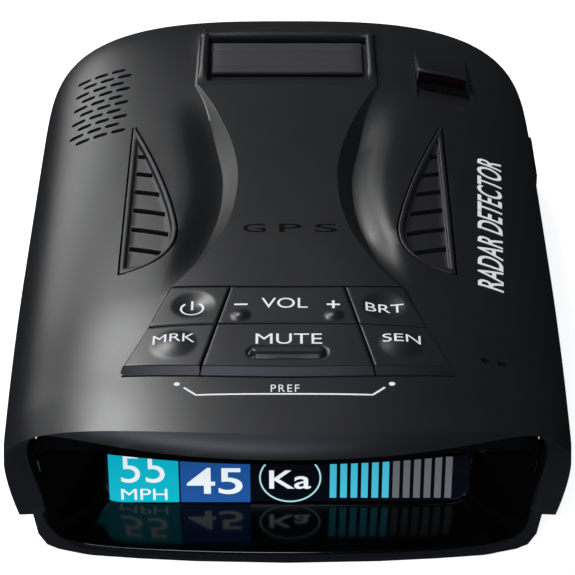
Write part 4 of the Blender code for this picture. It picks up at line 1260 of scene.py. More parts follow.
    def _panel(self, name: str, low: Place, high: Place, finish: Finish,
               layer: int = 1, corner: float = 0.12) -> None:
        """Build a lit rectangle with slightly rounded corners.

        Args:
            name: Name of the piece.
            low: Lower left corner, across and up.
            high: Upper right corner, across and up.
            finish: Its finish.
            layer: Layer that it is printed in.
            corner: Radius of its corners.
        """
        outline = []
        for center_x, center_z, start in ((high[0] - corner, high[1] - corner, 0.0),
                                          (low[0] + corner, high[1] - corner, 90.0),
                                          (low[0] + corner, low[1] + corner, 180.0),
                                          (high[0] - corner, low[1] + corner, 270.0)):
            for step in range(4):
                angle = math.radians(start + 30.0 * step)
                outline.append((center_x + corner * math.cos(angle), center_z + corner * math.sin(angle)))
        front = self._picture_y(layer)
        sheet = Solid()
        sheet.loft([[(x, front, z) for x, z in outline], [(x, front + 0.02, z) for x, z in outline]])
        finish_piece(sheet.object(name), finish)

    def _build_picture(self) -> None:
        """Build what the screen shows: two speed tiles, a ringed band name and a bar gauge."""
        foot = 4.55
        head = 15.2
        self._panel("screen_tile_limit", (-26.6, foot), (-16.2, head), Finish.TILE_CYAN)
        self._panel("screen_tile_speed", (-15.95, foot), (-5.55, head), Finish.TILE_BLUE)
        words = (("screen_limit_digits", "55", -21.5, 8.3, 5.3, 6.5, 0.0, Finish.DIGIT_WHITE),
                 ("screen_limit_unit", "MPH", -21.4, 5.05, 2.1, 6.9, 0.0, Finish.DIGIT_WHITE),
                 ("screen_speed_digits", "45", -10.85, 6.15, 5.0, 8.3, 0.10, Finish.DIGIT_WHITE),
                 ("screen_band_name", "Ka", 0.38, 7.15, 3.5, 6.2, 0.10, Finish.DIGIT_WHITE))
        for name, text, x, z, height, width, weight, finish in words:
            letters = Lettering(text, height, width, weight=weight)
            letters.stand_up(name, (x, self._picture_y(3), z), finish)
        self._build_band_ring(0.4, 9.2, 4.62, 4.38)
        bar_pitch = 1.56
        lit_bars = 6
        for bar in range(12):
            low_x = 6.3 + bar_pitch * bar
            finish = Finish.BAR_CYAN if bar < lit_bars else Finish.BAR_GREY
            self._panel(f"screen_bar_{bar + 1}", (low_x, 5.4), (low_x + 1.0, 13.2), finish, corner=0.08)

    def _build_band_ring(self, middle_x: float, middle_z: float, outer: float, inner: float) -> None:
        """Build the thin ring round the band's name.

        Args:
            middle_x: Place of its middle across the screen.
            middle_z: Height of its middle.
            outer: Its outer radius.
            inner: Its inner radius.
        """
        rows = []
        for radius, depth in ((outer, 0.02), (outer, 0.0), (inner, 0.0), (inner, 0.02)):
            rows.append([(middle_x + radius * math.cos(math.radians(5.0 * step)),
                          self._picture_y(2) + depth,
                          middle_z + radius * math.sin(math.radians(5.0 * step))) for step in range(72)])
        ring = Solid()
        ring.loft(rows + [rows[0]], caps=(False, False))
        finish_piece(ring.object("screen_band_ring"), Finish.RING_CYAN)


@dataclass
class Lettering:
    """One word of plain upright letters, drawn to a height and a width in millimetres."""

    text: str
    height: float
    width: float
    weight: float = 0.0
    spacing: float = 1.0
    curve_steps: int = 6

    def _flat_mesh(self, name: str) -> bpy.types.Mesh:
        """Mesh of the word in X and Y, with the middle of its foot at the origin.

        Args:
            name: Name of the piece.

        Returns:
            The mesh.
        """
        curve = bpy.data.curves.new(name, "FONT")
        curve.body = self.text
        curve.space_character = self.spacing
        curve.offset = self.weight * 0.1
        curve.resolution_u = self.curve_steps
        drawn = bpy.data.objects.new(name + "_drawn", curve)
        bpy.context.scene.collection.objects.link(drawn)
        bpy.context.view_layer.update()
        evaluated = drawn.evaluated_get(bpy.context.evaluated_depsgraph_get())
        mesh = bpy.data.meshes.new_from_object(evaluated)
        bpy.data.objects.remove(drawn, do_unlink=True)
        bpy.data.curves.remove(curve)
        xs = [vertex.co.x for vertex in mesh.vertices]
        ys = [vertex.co.y for vertex in mesh.vertices]
        scale_x = self.width / (max(xs) - min(xs))
        scale_y = self.height / (max(ys) - min(ys))
        middle = (max(xs) + min(xs)) / 2.0
        for vertex in mesh.vertices:
            vertex.co = ((vertex.co.x - middle) * scale_x, (vertex.co.y - min(ys)) * scale_y, 0.0)
        return mesh

    def _cut_up(self, mesh: bpy.types.Mesh, step: float) -> None:
        """Divide the letters along a square lattice, so that they can follow a curved surface.

        Args:
            mesh: The letters.
            step: Spacing of the lattice.
        """
        body = bmesh.new()
        body.from_mesh(mesh)
        for axis, reach in ((Vector((1, 0, 0)), self.width / 2.0), (Vector((0, 1, 0)), self.height)):
            count = int(2.0 * reach / step) + 1
            for index in range(-count, count + 1):
                geometry = body.verts[:] + body.edges[:] + body.faces[:]
                bmesh.ops.bisect_plane(body, geom=geometry, plane_co=axis * (index * step), plane_no=axis)
        body.to_mesh(mesh)
        body.free()

    def lay(self, name: str, foot: Place, height_at: Surface,
            finish: Finish, body: str = CASE, turn: float = 0.0, lift: float = 0.03,
            step: float = 0.7) -> None:
        """Lay the word on a curved surface.

        Args:
            name: Name of the piece.
            foot: Place of the middle of the word's foot, in plan.
            height_at: Height of the surface at a place.
            finish: Finish of the letters.
            body: Body that the word rides on.
            turn: Turn of the word in plan, in degrees.
            lift: How far the ink stands off the surface.
            step: Spacing at which the letters are divided.
        """
        mesh = self._flat_mesh(name)
        self._cut_up(mesh, step)
        cosine = math.cos(math.radians(turn))
        sine = math.sin(math.radians(turn))
        for vertex in mesh.vertices:
            place_x = foot[0] + vertex.co.x * cosine - vertex.co.y * sine
            place_y = foot[1] + vertex.co.x * sine + vertex.co.y * cosine
            vertex.co = Vector((place_x, place_y, height_at(place_x, place_y) + lift)) * MM
        self._link(mesh, name, finish, body)

    def stand_up(self, name: str, foot: Point, finish: Finish) -> None:
        """Stand the word upright in X and Z, facing the driver.

        Args:
            name: Name of the piece.
            foot: Place of the middle of the word's foot.
            finish: Its finish.
        """
        mesh = self._flat_mesh(name)
        for vertex in mesh.vertices:
            vertex.co = Vector((foot[0] + vertex.co.x, foot[1], foot[2] + vertex.co.y)) * MM
        self._link(mesh, name, finish, CASE)

    def _link(self, mesh: bpy.types.Mesh, name: str, finish: Finish, body: str) -> None:
        """Make the word's piece."""
        piece = bpy.data.objects.new(name, mesh)
        bpy.context.scene.collection.objects.link(piece)
        finish_piece(piece, finish, body)


class Relief(Enum):
    """How a key's finger mark is formed."""

    RAISED = 1
    DISHED = -1
    BAR = 0


@dataclass
class FingerMark:
    """Dome, dish or bar on a key, that a finger finds without looking."""

    x: float
    y: float
    radius: float
    depth: float
    relief: Relief
    bar: float = 0.0

    def lift(self, x: float, y: float) -> float:
        """How far the mark raises the surface at a place.

        Args:
            x: Distance to the right of the middle.
            y: Place along the case.

        Returns:
            The rise, below 0 in a dish.
        """
        along = max(abs(x - self.x) - self.bar, 0.0)
        distance = math.hypot(along, y - self.y) / self.radius
        if distance >= 1.0:
            return 0.0
        return self.relief.value * self.depth * (1.0 - distance ** 2) ** 1.5

    def lift_bar(self, x: float, y: float) -> float:
        """How far a flat-topped bar, with a groove round it, raises the surface at a place.

        Args:
            x: Distance to the right of the middle.
            y: Place along the case.

        Returns:
            The rise, below 0 in the groove.
        """
        along = max(abs(x - self.x) - self.bar, 0.0)
        distance = math.hypot(along, y - self.y)
        groove = 0.28 * math.exp(-((distance - self.radius - 0.12) / 0.16) ** 2)
        top = self.depth * (1.0 - ease((distance - self.radius + 0.35) / 0.4))
        return top - groove


@dataclass
class KeyCap:
    """One key: its name, its two slanted edges, its depth range and its finger marks."""

    name: str
    left: Callable[[float], float]
    right: Callable[[float], float]
    near_y: float
    far_y: float
    marks: list[FingerMark] = field(default_factory=list)


@dataclass
class Keypad:
    """Six keys in the spine, with their finger marks and printed signs."""

    shape: CaseShape
    row_y: float = -42.1
    column_back_half: float = 8.6
    column_front_half: float = 12.7
    gap: float = 0.26
    front_bow: float = 1.7
    back_bow: float = 0.6
    fillet: float = 0.22
    chamfer: float = 1.05
    base_depth: float = 3.0
    front_gap_share: float = 2.2

    def _side_x(self, y: float, back_half: float, front_half: float) -> float:
        """Distance from the middle of a line that runs from the keypad's back to its front."""
        span = self.shape.keypad_back_y - self.shape.keypad_front_y
        return mix(back_half, front_half, (self.shape.keypad_back_y - y) / span)

    def _front(self, x: float) -> float:
        """Depth of the keypad's front edge."""
        return self.shape.keypad_front_y - 0.3 + self.front_bow * (x / self.shape.keypad_front_half) ** 2

    def _back(self, x: float) -> float:
        """Depth of the keypad's back edge."""
        return self.shape.keypad_back_y - 0.15 + self.back_bow * (x / self.shape.keypad_back_half) ** 2

    def outline(self, grow: float) -> list[Place]:
        """Outline of the whole keypad in plan, a little larger by the distance given.

        Args:
            grow: How much larger than the part itself, all round.

        Returns:
            The outline's places in order.
        """
        back_half = self._side_x(self._back(self.shape.keypad_back_half), self.shape.keypad_back_half,
                                 self.shape.keypad_front_half)
        front_half = self._side_x(self._front(self.shape.keypad_front_half), self.shape.keypad_back_half,
                                  self.shape.keypad_front_half)
        front_gap = self.front_gap_share * grow
        front = [(x, self._front(x) - front_gap) for x in spread(-front_half - grow, front_half + grow, 25)]
        back = [(x, self._back(x) + grow) for x in spread(back_half + grow, -back_half - grow, 21)]
        return front + back

    def top(self, x: float, y: float) -> float:
        """Height of the keys' tops, without finger marks."""
        return self.shape.domed(x, y, 0.0)

    def _caps(self) -> list[KeyCap]:
        """The six keys.

        Returns:
            The keys.
        """
        half_gap = self.gap / 2.0

        def inner(sign: int, inset: float) -> Callable[[float], float]:
            return lambda y: sign * self._side_x(y, self.column_back_half, self.column_front_half) + inset

        def outer(sign: int) -> Callable[[float], float]:
            shape = self.shape
            return lambda y: sign * self._side_x(y, shape.keypad_back_half, shape.keypad_front_half)

        upper = (self.row_y + half_gap, self.shape.keypad_back_y)
        lower = (self.shape.keypad_front_y, self.row_y - half_gap)
        return [
            KeyCap("power_key", outer(-1), inner(-1, -half_gap), *upper,
                   [FingerMark(-14.1, -37.3, 3.4, 0.55, Relief.DISHED)]),
            KeyCap("mark_key", outer(-1), inner(-1, -half_gap), *lower,
                   [FingerMark(-16.7, -46.7, 3.5, 0.45, Relief.RAISED)]),
            KeyCap("volume_rocker", inner(-1, half_gap), inner(1, -half_gap), *upper,
                   [FingerMark(-6.95, -40.3, 1.45, 0.42, Relief.RAISED),
                    FingerMark(6.95, -40.3, 1.45, 0.42, Relief.RAISED)]),
            KeyCap("mute_key", inner(-1, half_gap), inner(1, -half_gap), *lower,
                   [FingerMark(0.05, -49.05, 1.05, 0.5, Relief.BAR, bar=4.5)]),
            KeyCap("brightness_key", inner(1, half_gap), outer(1), *upper,
                   [FingerMark(14.5, -37.4, 3.5, 0.5, Relief.DISHED)]),
            KeyCap("sensitivity_key", inner(1, half_gap), outer(1), *lower,
                   [FingerMark(16.7, -46.7, 3.4, 0.45, Relief.RAISED)]),
        ]

    def _height_on(self, cap: KeyCap) -> Surface:
        """Height of one key's top, with its finger marks.

        Args:
            cap: The key.

        Returns:
            Function that gives the height at a place.
        """
        def height(x: float, y: float) -> float:
            lift = 0.0
            for mark in cap.marks:
                lift += mark.lift_bar(x, y) if mark.relief is Relief.BAR else mark.lift(x, y)
            return self.top(x, y) + lift
        return height

    def _build_cap(self, cap: KeyCap) -> None:
        """Build one key with rounded edges and a chamfered front.

        Args:
            cap: The key.
        """
        is_lower = cap.near_y == self.shape.keypad_front_y
        is_upper = cap.far_y == self.shape.keypad_back_y
        height = self._height_on(cap)
        width = cap.right(cap.near_y) - cap.left(cap.near_y)
        across = rounded_spread(0.0, 1.0, self.fillet / width, max(18, int(width / 0.32)))
        along = rounded_spread(0.0, 1.0, self.fillet / (cap.far_y - cap.near_y), 30)
        if is_lower:
            extra = [self.chamfer * share / (cap.far_y - cap.near_y) for share in (0.5, 0.9, 1.0, 1.1)]
            along = sorted(set(along + extra))
        rows = []
        for v in along:
            row = []
            for u in across:
                flat_y = mix(cap.near_y, cap.far_y, v)
                x = mix(cap.left(flat_y), cap.right(flat_y), u)
                near = self._front(x) if is_lower else cap.near_y
                far = self._back(x) if is_upper else cap.far_y
                y = mix(near, far, v)
                inset = min(u * width, (1.0 - u) * width, far - y)
                drop = fillet_drop(inset, self.fillet)
                if is_lower:
                    drop = max(drop, clamp(1.0 - (y - near) / self.chamfer))
                else:
                    drop = max(drop, fillet_drop(y - near, self.fillet))
                row.append((x, y, height(x, y) - drop))
            rows.append(row)
        body = Solid()
        places = [body.add(row) for row in rows]
        for first, second in zip(places, places[1:]):
            body.strip(first, second)
        rim = places[0] + [row[-1] for row in places[1:-1]] + list(reversed(places[-1]))
        rim += [row[0] for row in reversed(places[1:-1])]
        around = [body.points[place] for place in rim]
        foot = body.add([(x, y, self.shape.crown_height(y) - self.base_depth) for x, y, _ in around])
        body.strip(rim, foot, closed=True)
        body.faces.append(tuple(foot))
        finish_piece(body.object(cap.name + "_cap"), Finish.KEY_BLACK, cap.name, (cap.name,),
                     edge_angle=50.0)

    def build(self) -> None:
        """Build the keys and their signs."""
        caps = {cap.name: cap for cap in self._caps()}
        for cap in caps.values():
            self._build_cap(cap)
        self._print_words(caps)
        self._print_power_sign(caps["power_key"])
        self._print_volume_signs(caps["volume_rocker"])

    def _print_words(self, caps: dict[str, KeyCap]) -> None:
        """Print the keys' words.

        Args:
            caps: The keys by name.
        """
        words = (("mark_key", "MRK", (-16.7, -46.6), 2.15, 6.2),
                 ("volume_rocker", "VOL", (-0.45, -38.55), 2.5, 6.9),
                 ("mute_key", "MUTE", (0.2, -47.2), 2.45, 9.75),
                 ("brightness_key", "BRT", (14.5, -38.9), 2.15, 5.7),
                 ("sensitivity_key", "SEN", (16.75, -46.6), 2.15, 5.6))
        for key, text, foot, height, width in words:
            word = Lettering(text, height, width)
            word.lay(key + "_word", foot, self._height_on(caps[key]), Finish.LEGEND_INK, key)

    def _print_strokes(self, name: str, cap: KeyCap, strokes: Sequence[Sequence[Place]],
                       width: float) -> None:
        """Print a sign made of lines of one width.

        Args:
            name: Name of the piece.
            cap: The key that it is printed on.
            strokes: Lines, each a run of places in plan.
            width: Width of the lines.
        """
        ribbon = Solid()
        height = self._height_on(cap)
        for stroke in strokes:
            add_ribbon(ribbon, stroke, width, lambda x, y: height(x, y) + 0.035)
        finish_piece(ribbon.object(name), Finish.LEGEND_INK, cap.name)

    def _print_power_sign(self, cap: KeyCap) -> None:
        """Print the broken ring with a bar.

        Args:
            cap: The key.
        """
        x, y = (-14.25, -37.95)
        radius = 1.65
        ring = [(x + radius * math.sin(math.radians(angle)), y + radius * math.cos(math.radians(angle)))
                for angle in range(38, 323, 6)]
        bar = [(x, y + 1.95 - 0.3 * step) for step in range(8)]
        self._print_strokes("power_key_sign", cap, (ring, bar), 0.34)

    def _print_volume_signs(self, cap: KeyCap) -> None:
        """Print the minus and the plus.

        Args:
            cap: The key.
        """
        minus = [(-7.95 + 0.33 * step, -37.65) for step in range(7)]
        plus_bar = [(5.85 + 0.33 * step, -37.65) for step in range(7)]
        plus_post = [(6.84, -38.6 + 0.32 * step) for step in range(7)]
        self._print_strokes("volume_minus_sign", cap, (minus,), 0.4)
        self._print_strokes("volume_plus_sign", cap, (plus_bar, plus_post), 0.4)


def add_ribbon(target: Solid, stroke: Sequence[Place], width: float,
               height: Surface) -> None:
    """Add a line of one width that lies on a surface.

    Args:
        target: Solid that gets the line.
        stroke: Places in plan along the line's middle.
        width: Width of the line.
        height: Height of the surface at a place.
    """
    left = []
    right = []
    for index, (x, y) in enumerate(stroke):
        before = stroke[max(index - 1, 0)]
        after = stroke[min(index + 1, len(stroke) - 1)]
        run = math.hypot(after[0] - before[0], after[1] - before[1])
        side_x = -(after[1] - before[1]) / run * width / 2.0
        side_y = (after[0] - before[0]) / run * width / 2.0
        left.append((x + side_x, y + side_y, height(x + side_x, y + side_y)))
        right.append((x - side_x, y - side_y, height(x - side_x, y - side_y)))
    target.strip(target.add(left), target.add(right))


@dataclass
class SurfacePrint:
    """What is printed or sunk in the top: the preference line, the aerial's mark and a plain word. The sunk
    aerial's mark is drawn as dark letters on the surface, a painted shade of the sunk letters.
    """

    shape: CaseShape
    middle: float = -0.45
    dot_radius: float = 0.46
    dot_points: int = 18
    fitting_rounds: int = 6

    def build(self) -> None:
        """Build every mark."""
        top = self.shape.top
        height = self._hood_height
        middle = self.middle
        line = [(middle + x, y) for x, y in ((-14.45, -55.7), (-13.55, -56.58), (-12.65, -57.45))]
        line += [(middle + x, -57.45) for x in spread(-12.65, 12.65, 40)[1:]]
        line += [(middle + 13.55, -56.58), (middle + 14.45, -55.7)]
        ribbon = Solid()
        add_ribbon(ribbon, line, 0.34, lambda x, y: height(x, y) + 0.04)
        finish_piece(ribbon.object("preference_line"), Finish.LEGEND_INK)
        for side, word in ((-1, "left"), (1, "right")):
            self._dot(f"preference_dot_{word}", middle + side * 15.5, -54.85, height)
        Lettering("PREF", 1.6, 4.1, spacing=1.25).lay("preference_word", (middle + 0.1, -57.0), height,
                                                      Finish.LEGEND_INK, lift=0.045)
        # The aerial's mark: dark letters laid on the top, painted shade standing in for sunk letters.
        for letter, x in (("G", -5.15), ("P", 0.45), ("S", 6.0)):
            mark = Lettering(letter, 2.25, 3.5, weight=0.02)
            mark.lay("aerial_mark_" + letter.lower(), (x, -18.65), top, Finish.SHADE_INK, lift=0.02)
        Lettering("RADAR DETECTOR", 4.1, 39.0, weight=0.10).lay(
            "shoulder_word", (34.3, -9.8), top, Finish.LEGEND_INK, turn=86.5, lift=0.05)

    def _hood_height(self, x: float, y: float) -> float:
        """Height of the hood, whose rows bow back toward the sides.

        Args:
            x: Distance to the right of the middle.
            y: Place along the case.

        Returns:
            The height.
        """
        shape = self.shape
        bow_start = shape.keypad_front_y - 1.0
        flat_y = y
        for _ in range(self.fitting_rounds):
            share = clamp((bow_start - flat_y) / (bow_start - shape.front_y))
            flat_y = y - shape.hood_bow(x) * share
        return shape.top(x, flat_y)

    def _dot(self, name: str, x: float, y: float, height: Surface) -> None:
        """Print a round dot.

        Args:
            name: Name of the piece.
            x: Distance to the right of the middle.
            y: Place along the case.
            height: Height of the surface at a place.
        """
        disc = Solid()
        center = disc.add([(x, y, height(x, y) + 0.05)])[0]
        rim = disc.add([(x + self.dot_radius * math.cos(math.radians(20.0 * step)),
                         y + self.dot_radius * math.sin(math.radians(20.0 * step)),
                         height(x, y) + 0.045) for step in range(self.dot_points)])
        for step in range(self.dot_points):
            disc.faces.append((center, rim[step], rim[(step + 1) % self.dot_points]))
        finish_piece(disc.object(name), Finish.LEGEND_INK)


@dataclass
class Vents:
    """Two D-shaped grilles with a raised rim and slanted slots."""

    shape: CaseShape
    far_y: float = 17.2
    length: float = 44.6
    edge_x: float = 25.8
    bulge: float = 8.5
    peak: float = 0.76
    rim: float = 1.05
    rim_height: float = 0.15
    field_depth: float = 0.45
    thickness: float = 1.5
    slots: int = 6
    slot_pitch: float = 5.5
    slot_width: float = 1.3
    slot_lean: float = math.radians(24.0)

    def _bulge_x(self, y: float) -> float:
        """Distance from the middle to the curved inner edge.

        Args:
            y: Place along the case.

        Returns:
            The distance.
        """
        s = clamp((self.far_y - y) / self.length)
        if s < self.peak:
            fullness = 1.0 - (1.0 - s / self.peak) ** 1.31
        else:
            fullness = (1.0 - (1.0 - (1.0 - s) / (1.0 - self.peak)) ** 2.6) ** 0.6
        return self.edge_x - self.bulge * fullness

    def _shares(self) -> list[float]:
        """Places along the grille, closest together at its near end, which is blunt."""
        far = [0.02, 0.035, 0.06] + spread(0.09, self.peak, 30)
        near = [1.0 - (1.0 - self.peak) * (1.0 - step / 16.0) ** 1.8 for step in range(1, 16)]
        return far + near + [0.9985]

    def outline(self, side: int, grow: float) -> list[Place]:
        """Outline in plan, larger by a distance.

        Args:
            side: -1 for the left one, 1 for the right one.
            grow: How much larger than the part itself, all round.

        Returns:
            The outline's places in order.
        """
        curve = []
        for share in self._shares():
            y = self.far_y - self.length * share
            curve.append((side * (self._bulge_x(y) - grow), y))
        first_y = curve[0][1] + grow
        last_y = curve[-1][1] - grow
        curve[0] = (curve[0][0], first_y)
        curve[-1] = (curve[-1][0], last_y)
        return curve + [(side * (self.edge_x + grow), last_y), (side * (self.edge_x + grow), first_y)]

    def _relief(self, inset: float) -> float:
        """Height of the grille's face over the case's surface, at a distance in from its edge."""
        rim_top = self.rim_height - fillet_drop(inset, 0.22)
        fall = ease((inset - self.rim * 0.62) / (self.rim * 0.38))
        return mix(rim_top, -self.field_depth, fall)

    def _solid(self, side: int) -> Solid:
        """Body of a grille, before its slots are cut.

        Args:
            side: -1 for the left one, 1 for the right one.

        Returns:
            The body.
        """
        rows = []
        near_end = self.far_y - self.length
        for share in self._shares():
            y = self.far_y - self.length * share
            inner = self._bulge_x(y)
            outer = self.edge_x
            half = (outer - inner) / 2.0
            steps = [step for step in (0.0, 0.07, 0.15, 0.22, 0.62, 0.75, 0.85, 0.95, 1.1) if step < half]
            steps += [half] * (9 - len(steps))
            across = [inner + step for step in steps]
            across += spread(across[-1], outer - steps[-1], 7)[1:-1]
            across += [outer - step for step in reversed(steps)]
            top = []
            for x in across:
                inset = min(x - inner, outer - x,
                            (y - near_end) * 0.55 + 0.02, (self.far_y - y) * 0.5 + 0.02)
                top.append((side * x, y, self.shape.top(x, y) + self._relief(max(inset, 0.0))))
            bottom = [(side * x, y, self.shape.top(x, y) - self.thickness - 0.3) for x in (outer, inner)]
            rows.append(top + bottom)
        body = Solid()
        body.loft(rows)
        return body

    def _slot_tool(self, side: int) -> Solid:
        """Solids of the slanted slots.

        Args:
            side: -1 for the left one, 1 for the right one.

        Returns:
            The slots together.
        """
        tool = Solid()
        for number in range(self.slots):
            y = self.far_y - 10.0 - number * self.slot_pitch
            inner = self._bulge_x(y - 2.0) + self.rim + 0.25
            outer = self.edge_x - self.rim - 0.15
            if outer - inner < 1.0:
                continue
            drop = (outer - inner) * math.tan(self.slot_lean)
            half = self.slot_width / 2.0
            outline = [(side * outer, y + half), (side * inner, y - drop + half),
                       (side * inner, y - drop - half), (side * outer, y - half)]
            tool.plate(outline, 15.0, CLEAR_Z)
        return tool

    def build(self) -> None:
        """Build the two grilles."""
        for side, word in ((-1, "left"), (1, "right")):
            grille = self._solid(side).object(f"vent_grille_{word}_fine")
            carve(grille, self._slot_tool(side), "slot_cutter")
            finish_piece(grille, Finish.GRILLE_BLACK, stands_for=(f"vent_grille_{word}",),
                         edge_angle=40.0)


@dataclass
class Dock:
    """Pocket for the windscreen bracket, with a raised frame on three sides."""

    shape: CaseShape
    rim: float = 1.5
    frame_rise: float = 0.55
    floor_z: float = 27.0
    slot_depth: float = 1.8
    lip: float = 3.1
    slot_near: float = 4.3
    slot_far: float = 1.2
    roof: float = 0.6
    ramp: float = 5.4
    near_wall: float = 0.6

    def _frame_rise(self, x: float, y: float) -> float:
        """How far the frame stands above the case: highest on the far rim, gone at the near end.

        Args:
            x: Distance to the right of the middle.
            y: Place along the case.

        Returns:
            The rise.
        """
        side = abs(x) - (self.shape.dock_half - self.rim)
        far = y - (self.shape.dock_far_y - self.lip)
        along = ease((y - self.shape.dock_near_y - 1.0) / 6.0)
        ridge = max(math.sin(math.pi * clamp(side / self.rim)) if side > 0.0 else 0.0,
                    math.sin(math.pi * clamp(far / self.lip)) if far > 0.0 else 0.0)
        return self.frame_rise * along * ridge ** 0.7

    def build(self) -> None:
        """Build the pocket and the pad on its floor."""
        shape = self.shape
        half = shape.dock_half
        across = [-half + step for step in (0.0, 0.1, 0.25, 0.5, 0.8, 1.1, 1.3, self.rim)]
        across += spread(-half + self.rim, half - self.rim, 16)[1:-1] + [-x for x in reversed(across)]
        along = spread(shape.dock_near_y, shape.dock_far_y - self.lip, 24)
        along += [shape.dock_far_y - self.lip + step
                  for step in (0.15, 0.4, 0.8, 1.3, 1.8, 2.3, 2.7, 2.95, self.lip)]
        bottom_z = self.floor_z - 3.0
        rows = []
        for y in along:
            rise = shape.plateau_rise(y)
            top = [(x, y, shape.domed(x, y, rise) + rise * shape.plateau_amount(y)
                    + self._frame_rise(x, y)) for x in across]
            rows.append(top + [(half, y, bottom_z), (-half, y, bottom_z)])
        body = Solid()
        body.loft(rows)
        tray = body.object("dock_pocket_tray")
        carve(tray, self._pocket(), "pocket_cutter")
        finish_piece(tray, Finish.CASE_BLACK, stands_for=("dock_tray",), edge_angle=35.0)
        self._build_pad()

    def _pocket(self) -> Solid:
        """Solid of the pocket, with the undercut below its far rim.

        Returns:
            The solid.
        """
        shape = self.shape
        lip_y = shape.dock_far_y - self.lip
        near = shape.dock_far_y - self.slot_near
        far = shape.dock_far_y - self.slot_far
        roof_z = shape.top(0.0, shape.dock_far_y) - self.roof
        ramp_y = shape.dock_near_y + self.near_wall
        start_z = shape.top(0.0, ramp_y) - 0.2
        ramp = [(ramp_y + self.ramp * share, mix(start_z, self.floor_z, ease(share)))
                for share in (0.0, 0.15, 0.3, 0.45, 0.6, 0.75, 0.9, 1.0)]
        profile = [(ramp_y, CLEAR_Z)] + ramp
        profile += [(near, self.floor_z), (near, self.floor_z - self.slot_depth),
                    (far, self.floor_z - self.slot_depth), (far, roof_z), (lip_y, roof_z), (lip_y, CLEAR_Z)]
        half = shape.dock_half - self.rim
        tool = Solid()
        tool.loft([[(x, y, z) for y, z in profile] for x in (-half, half)])
        return tool

    def _build_pad(self) -> None:
        """Build the pad, with a rounded rim and two fine grooves across it."""
        low, high = (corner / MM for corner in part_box("dock_pad"))
        across = rounded_spread(low.x, high.x, 0.3, 12)
        along = rounded_spread(low.y, high.y, 0.3, 30)
        rows = []
        for y in along:
            top = []
            for x in across:
                edge = min(x - low.x, high.x - x, y - low.y, high.y - y)
                groove = 0.0
                for share in (0.25, 0.75):
                    groove += 0.12 * math.exp(-((y - mix(low.y, high.y, share)) / 0.35) ** 2)
                top.append((x, y, high.z - fillet_drop(edge, 0.3) - groove))
            rows.append(top + [(high.x, y, low.z), (low.x, y, low.z)])
        pad = Solid()
        pad.loft(rows)
        finish_piece(pad.object("dock_pad_fine"), Finish.PAD_RUBBER, stands_for=("dock_pad",),
                     edge_angle=40.0)


@dataclass
class RearSensor:
    """Hood on the right shoulder, with a dark lens that faces back into the car."""

    shape: CaseShape
    middle_x: float = 26.8
    width: float = 9.2
    near_y: float = 33.0
    length: float = 11.3
    rise: float = 2.2
    foot_z: float = 22.4
    scoop_length: float = 8.5
    scoop_depth: float = 1.15
    brow: float = 0.75

    @property
    def low_x(self) -> float:
        """Left side of the hood."""
        return self.middle_x - self.width / 2.0

    @property
    def high_x(self) -> float:
        """Right side of the hood."""
        return self.middle_x + self.width / 2.0

    def _roof(self, x: float, y: float) -> float:
        """Height of the hood's top, which runs out into the case toward the far end."""
        t = clamp((y - self.near_y) / self.length)
        edge = self.width / 2.0 - abs(x - self.middle_x)
        return self.shape.top(x, y) + mix(self.rise, 0.1, t ** 1.2) - fillet_drop(edge, 0.9) * (1.0 - t)

    def scoop(self) -> Solid:
        """Wedge that is taken out of the case in front of the lens.

        Returns:
            The wedge.
        """
        low_x, high_x = self.low_x, self.high_x
        tool = Solid()
        rows = []
        for y in spread(self.near_y - self.scoop_length, self.near_y + 0.3, 10):
            depth = self.scoop_depth * ease((y - self.near_y + self.scoop_length) / self.scoop_length)
            across = spread(low_x, high_x, 9)
            floor = [(x, y, self.shape.top(x, y) - depth - 0.004) for x in across]
            rows.append(floor + [(high_x, y, CLEAR_Z), (low_x, y, CLEAR_Z)])
        tool.loft(rows)
        return tool

    def build(self) -> None:
        """Build the hood and its lens."""
        low_x, high_x = self.low_x, self.high_x
        across = rounded_spread(low_x, high_x, 0.9, 16)
        along = [self.near_y + step for step in (0.0, 0.08, 0.2, 0.5, 1.0)]
        along += spread(self.near_y + 1.8, self.near_y + self.length, 16)
        rows = []
        for y in along:
            nose = fillet_drop(y - self.near_y, 0.2)
            top = [(x, y, self._roof(x, y) - nose) for x in across]
            rows.append(top + [(high_x, y, self.foot_z), (low_x, y, self.foot_z)])
        body = Solid()
        body.loft(rows)
        hood = body.object("rear_sensor_brow")
        carve(hood, self._lens_section(self.near_y - 1.0, self.near_y + 1.6, self.brow), "lens_cutter")
        finish_piece(hood, Finish.HOOD_BLACK, stands_for=("rear_sensor_hood",), edge_angle=40.0)
        lens = self._lens_section(self.near_y + 0.95, self.near_y + 1.55, self.brow + 0.12)
        finish_piece(lens.object("rear_sensor_window"), Finish.LENS_DARK,
                     stands_for=("rear_sensor_lens",))

    def _lens_section(self, first_y: float, last_y: float, margin: float) -> Solid:
        """Solid with the lens's outline, between two depths.

        Args:
            first_y: Depth of its near face.
            last_y: Depth of its far face.
            margin: How far it stays inside the hood.

        Returns:
            The solid.
        """
        left = self.low_x + margin * 0.6
        right = self.high_x - margin * 0.6
        section = []
        for x in spread(left, right, 14):
            section.append((x, self._roof(x, self.near_y) - margin))
        for x in spread(right, left, 14):
            section.append((x, self.shape.top(x, self.near_y) - self.scoop_depth))
        tool = Solid()
        tool.loft([[(x, y, z) for x, z in section] for y in spread(first_y, last_y, 2)])
        return tool


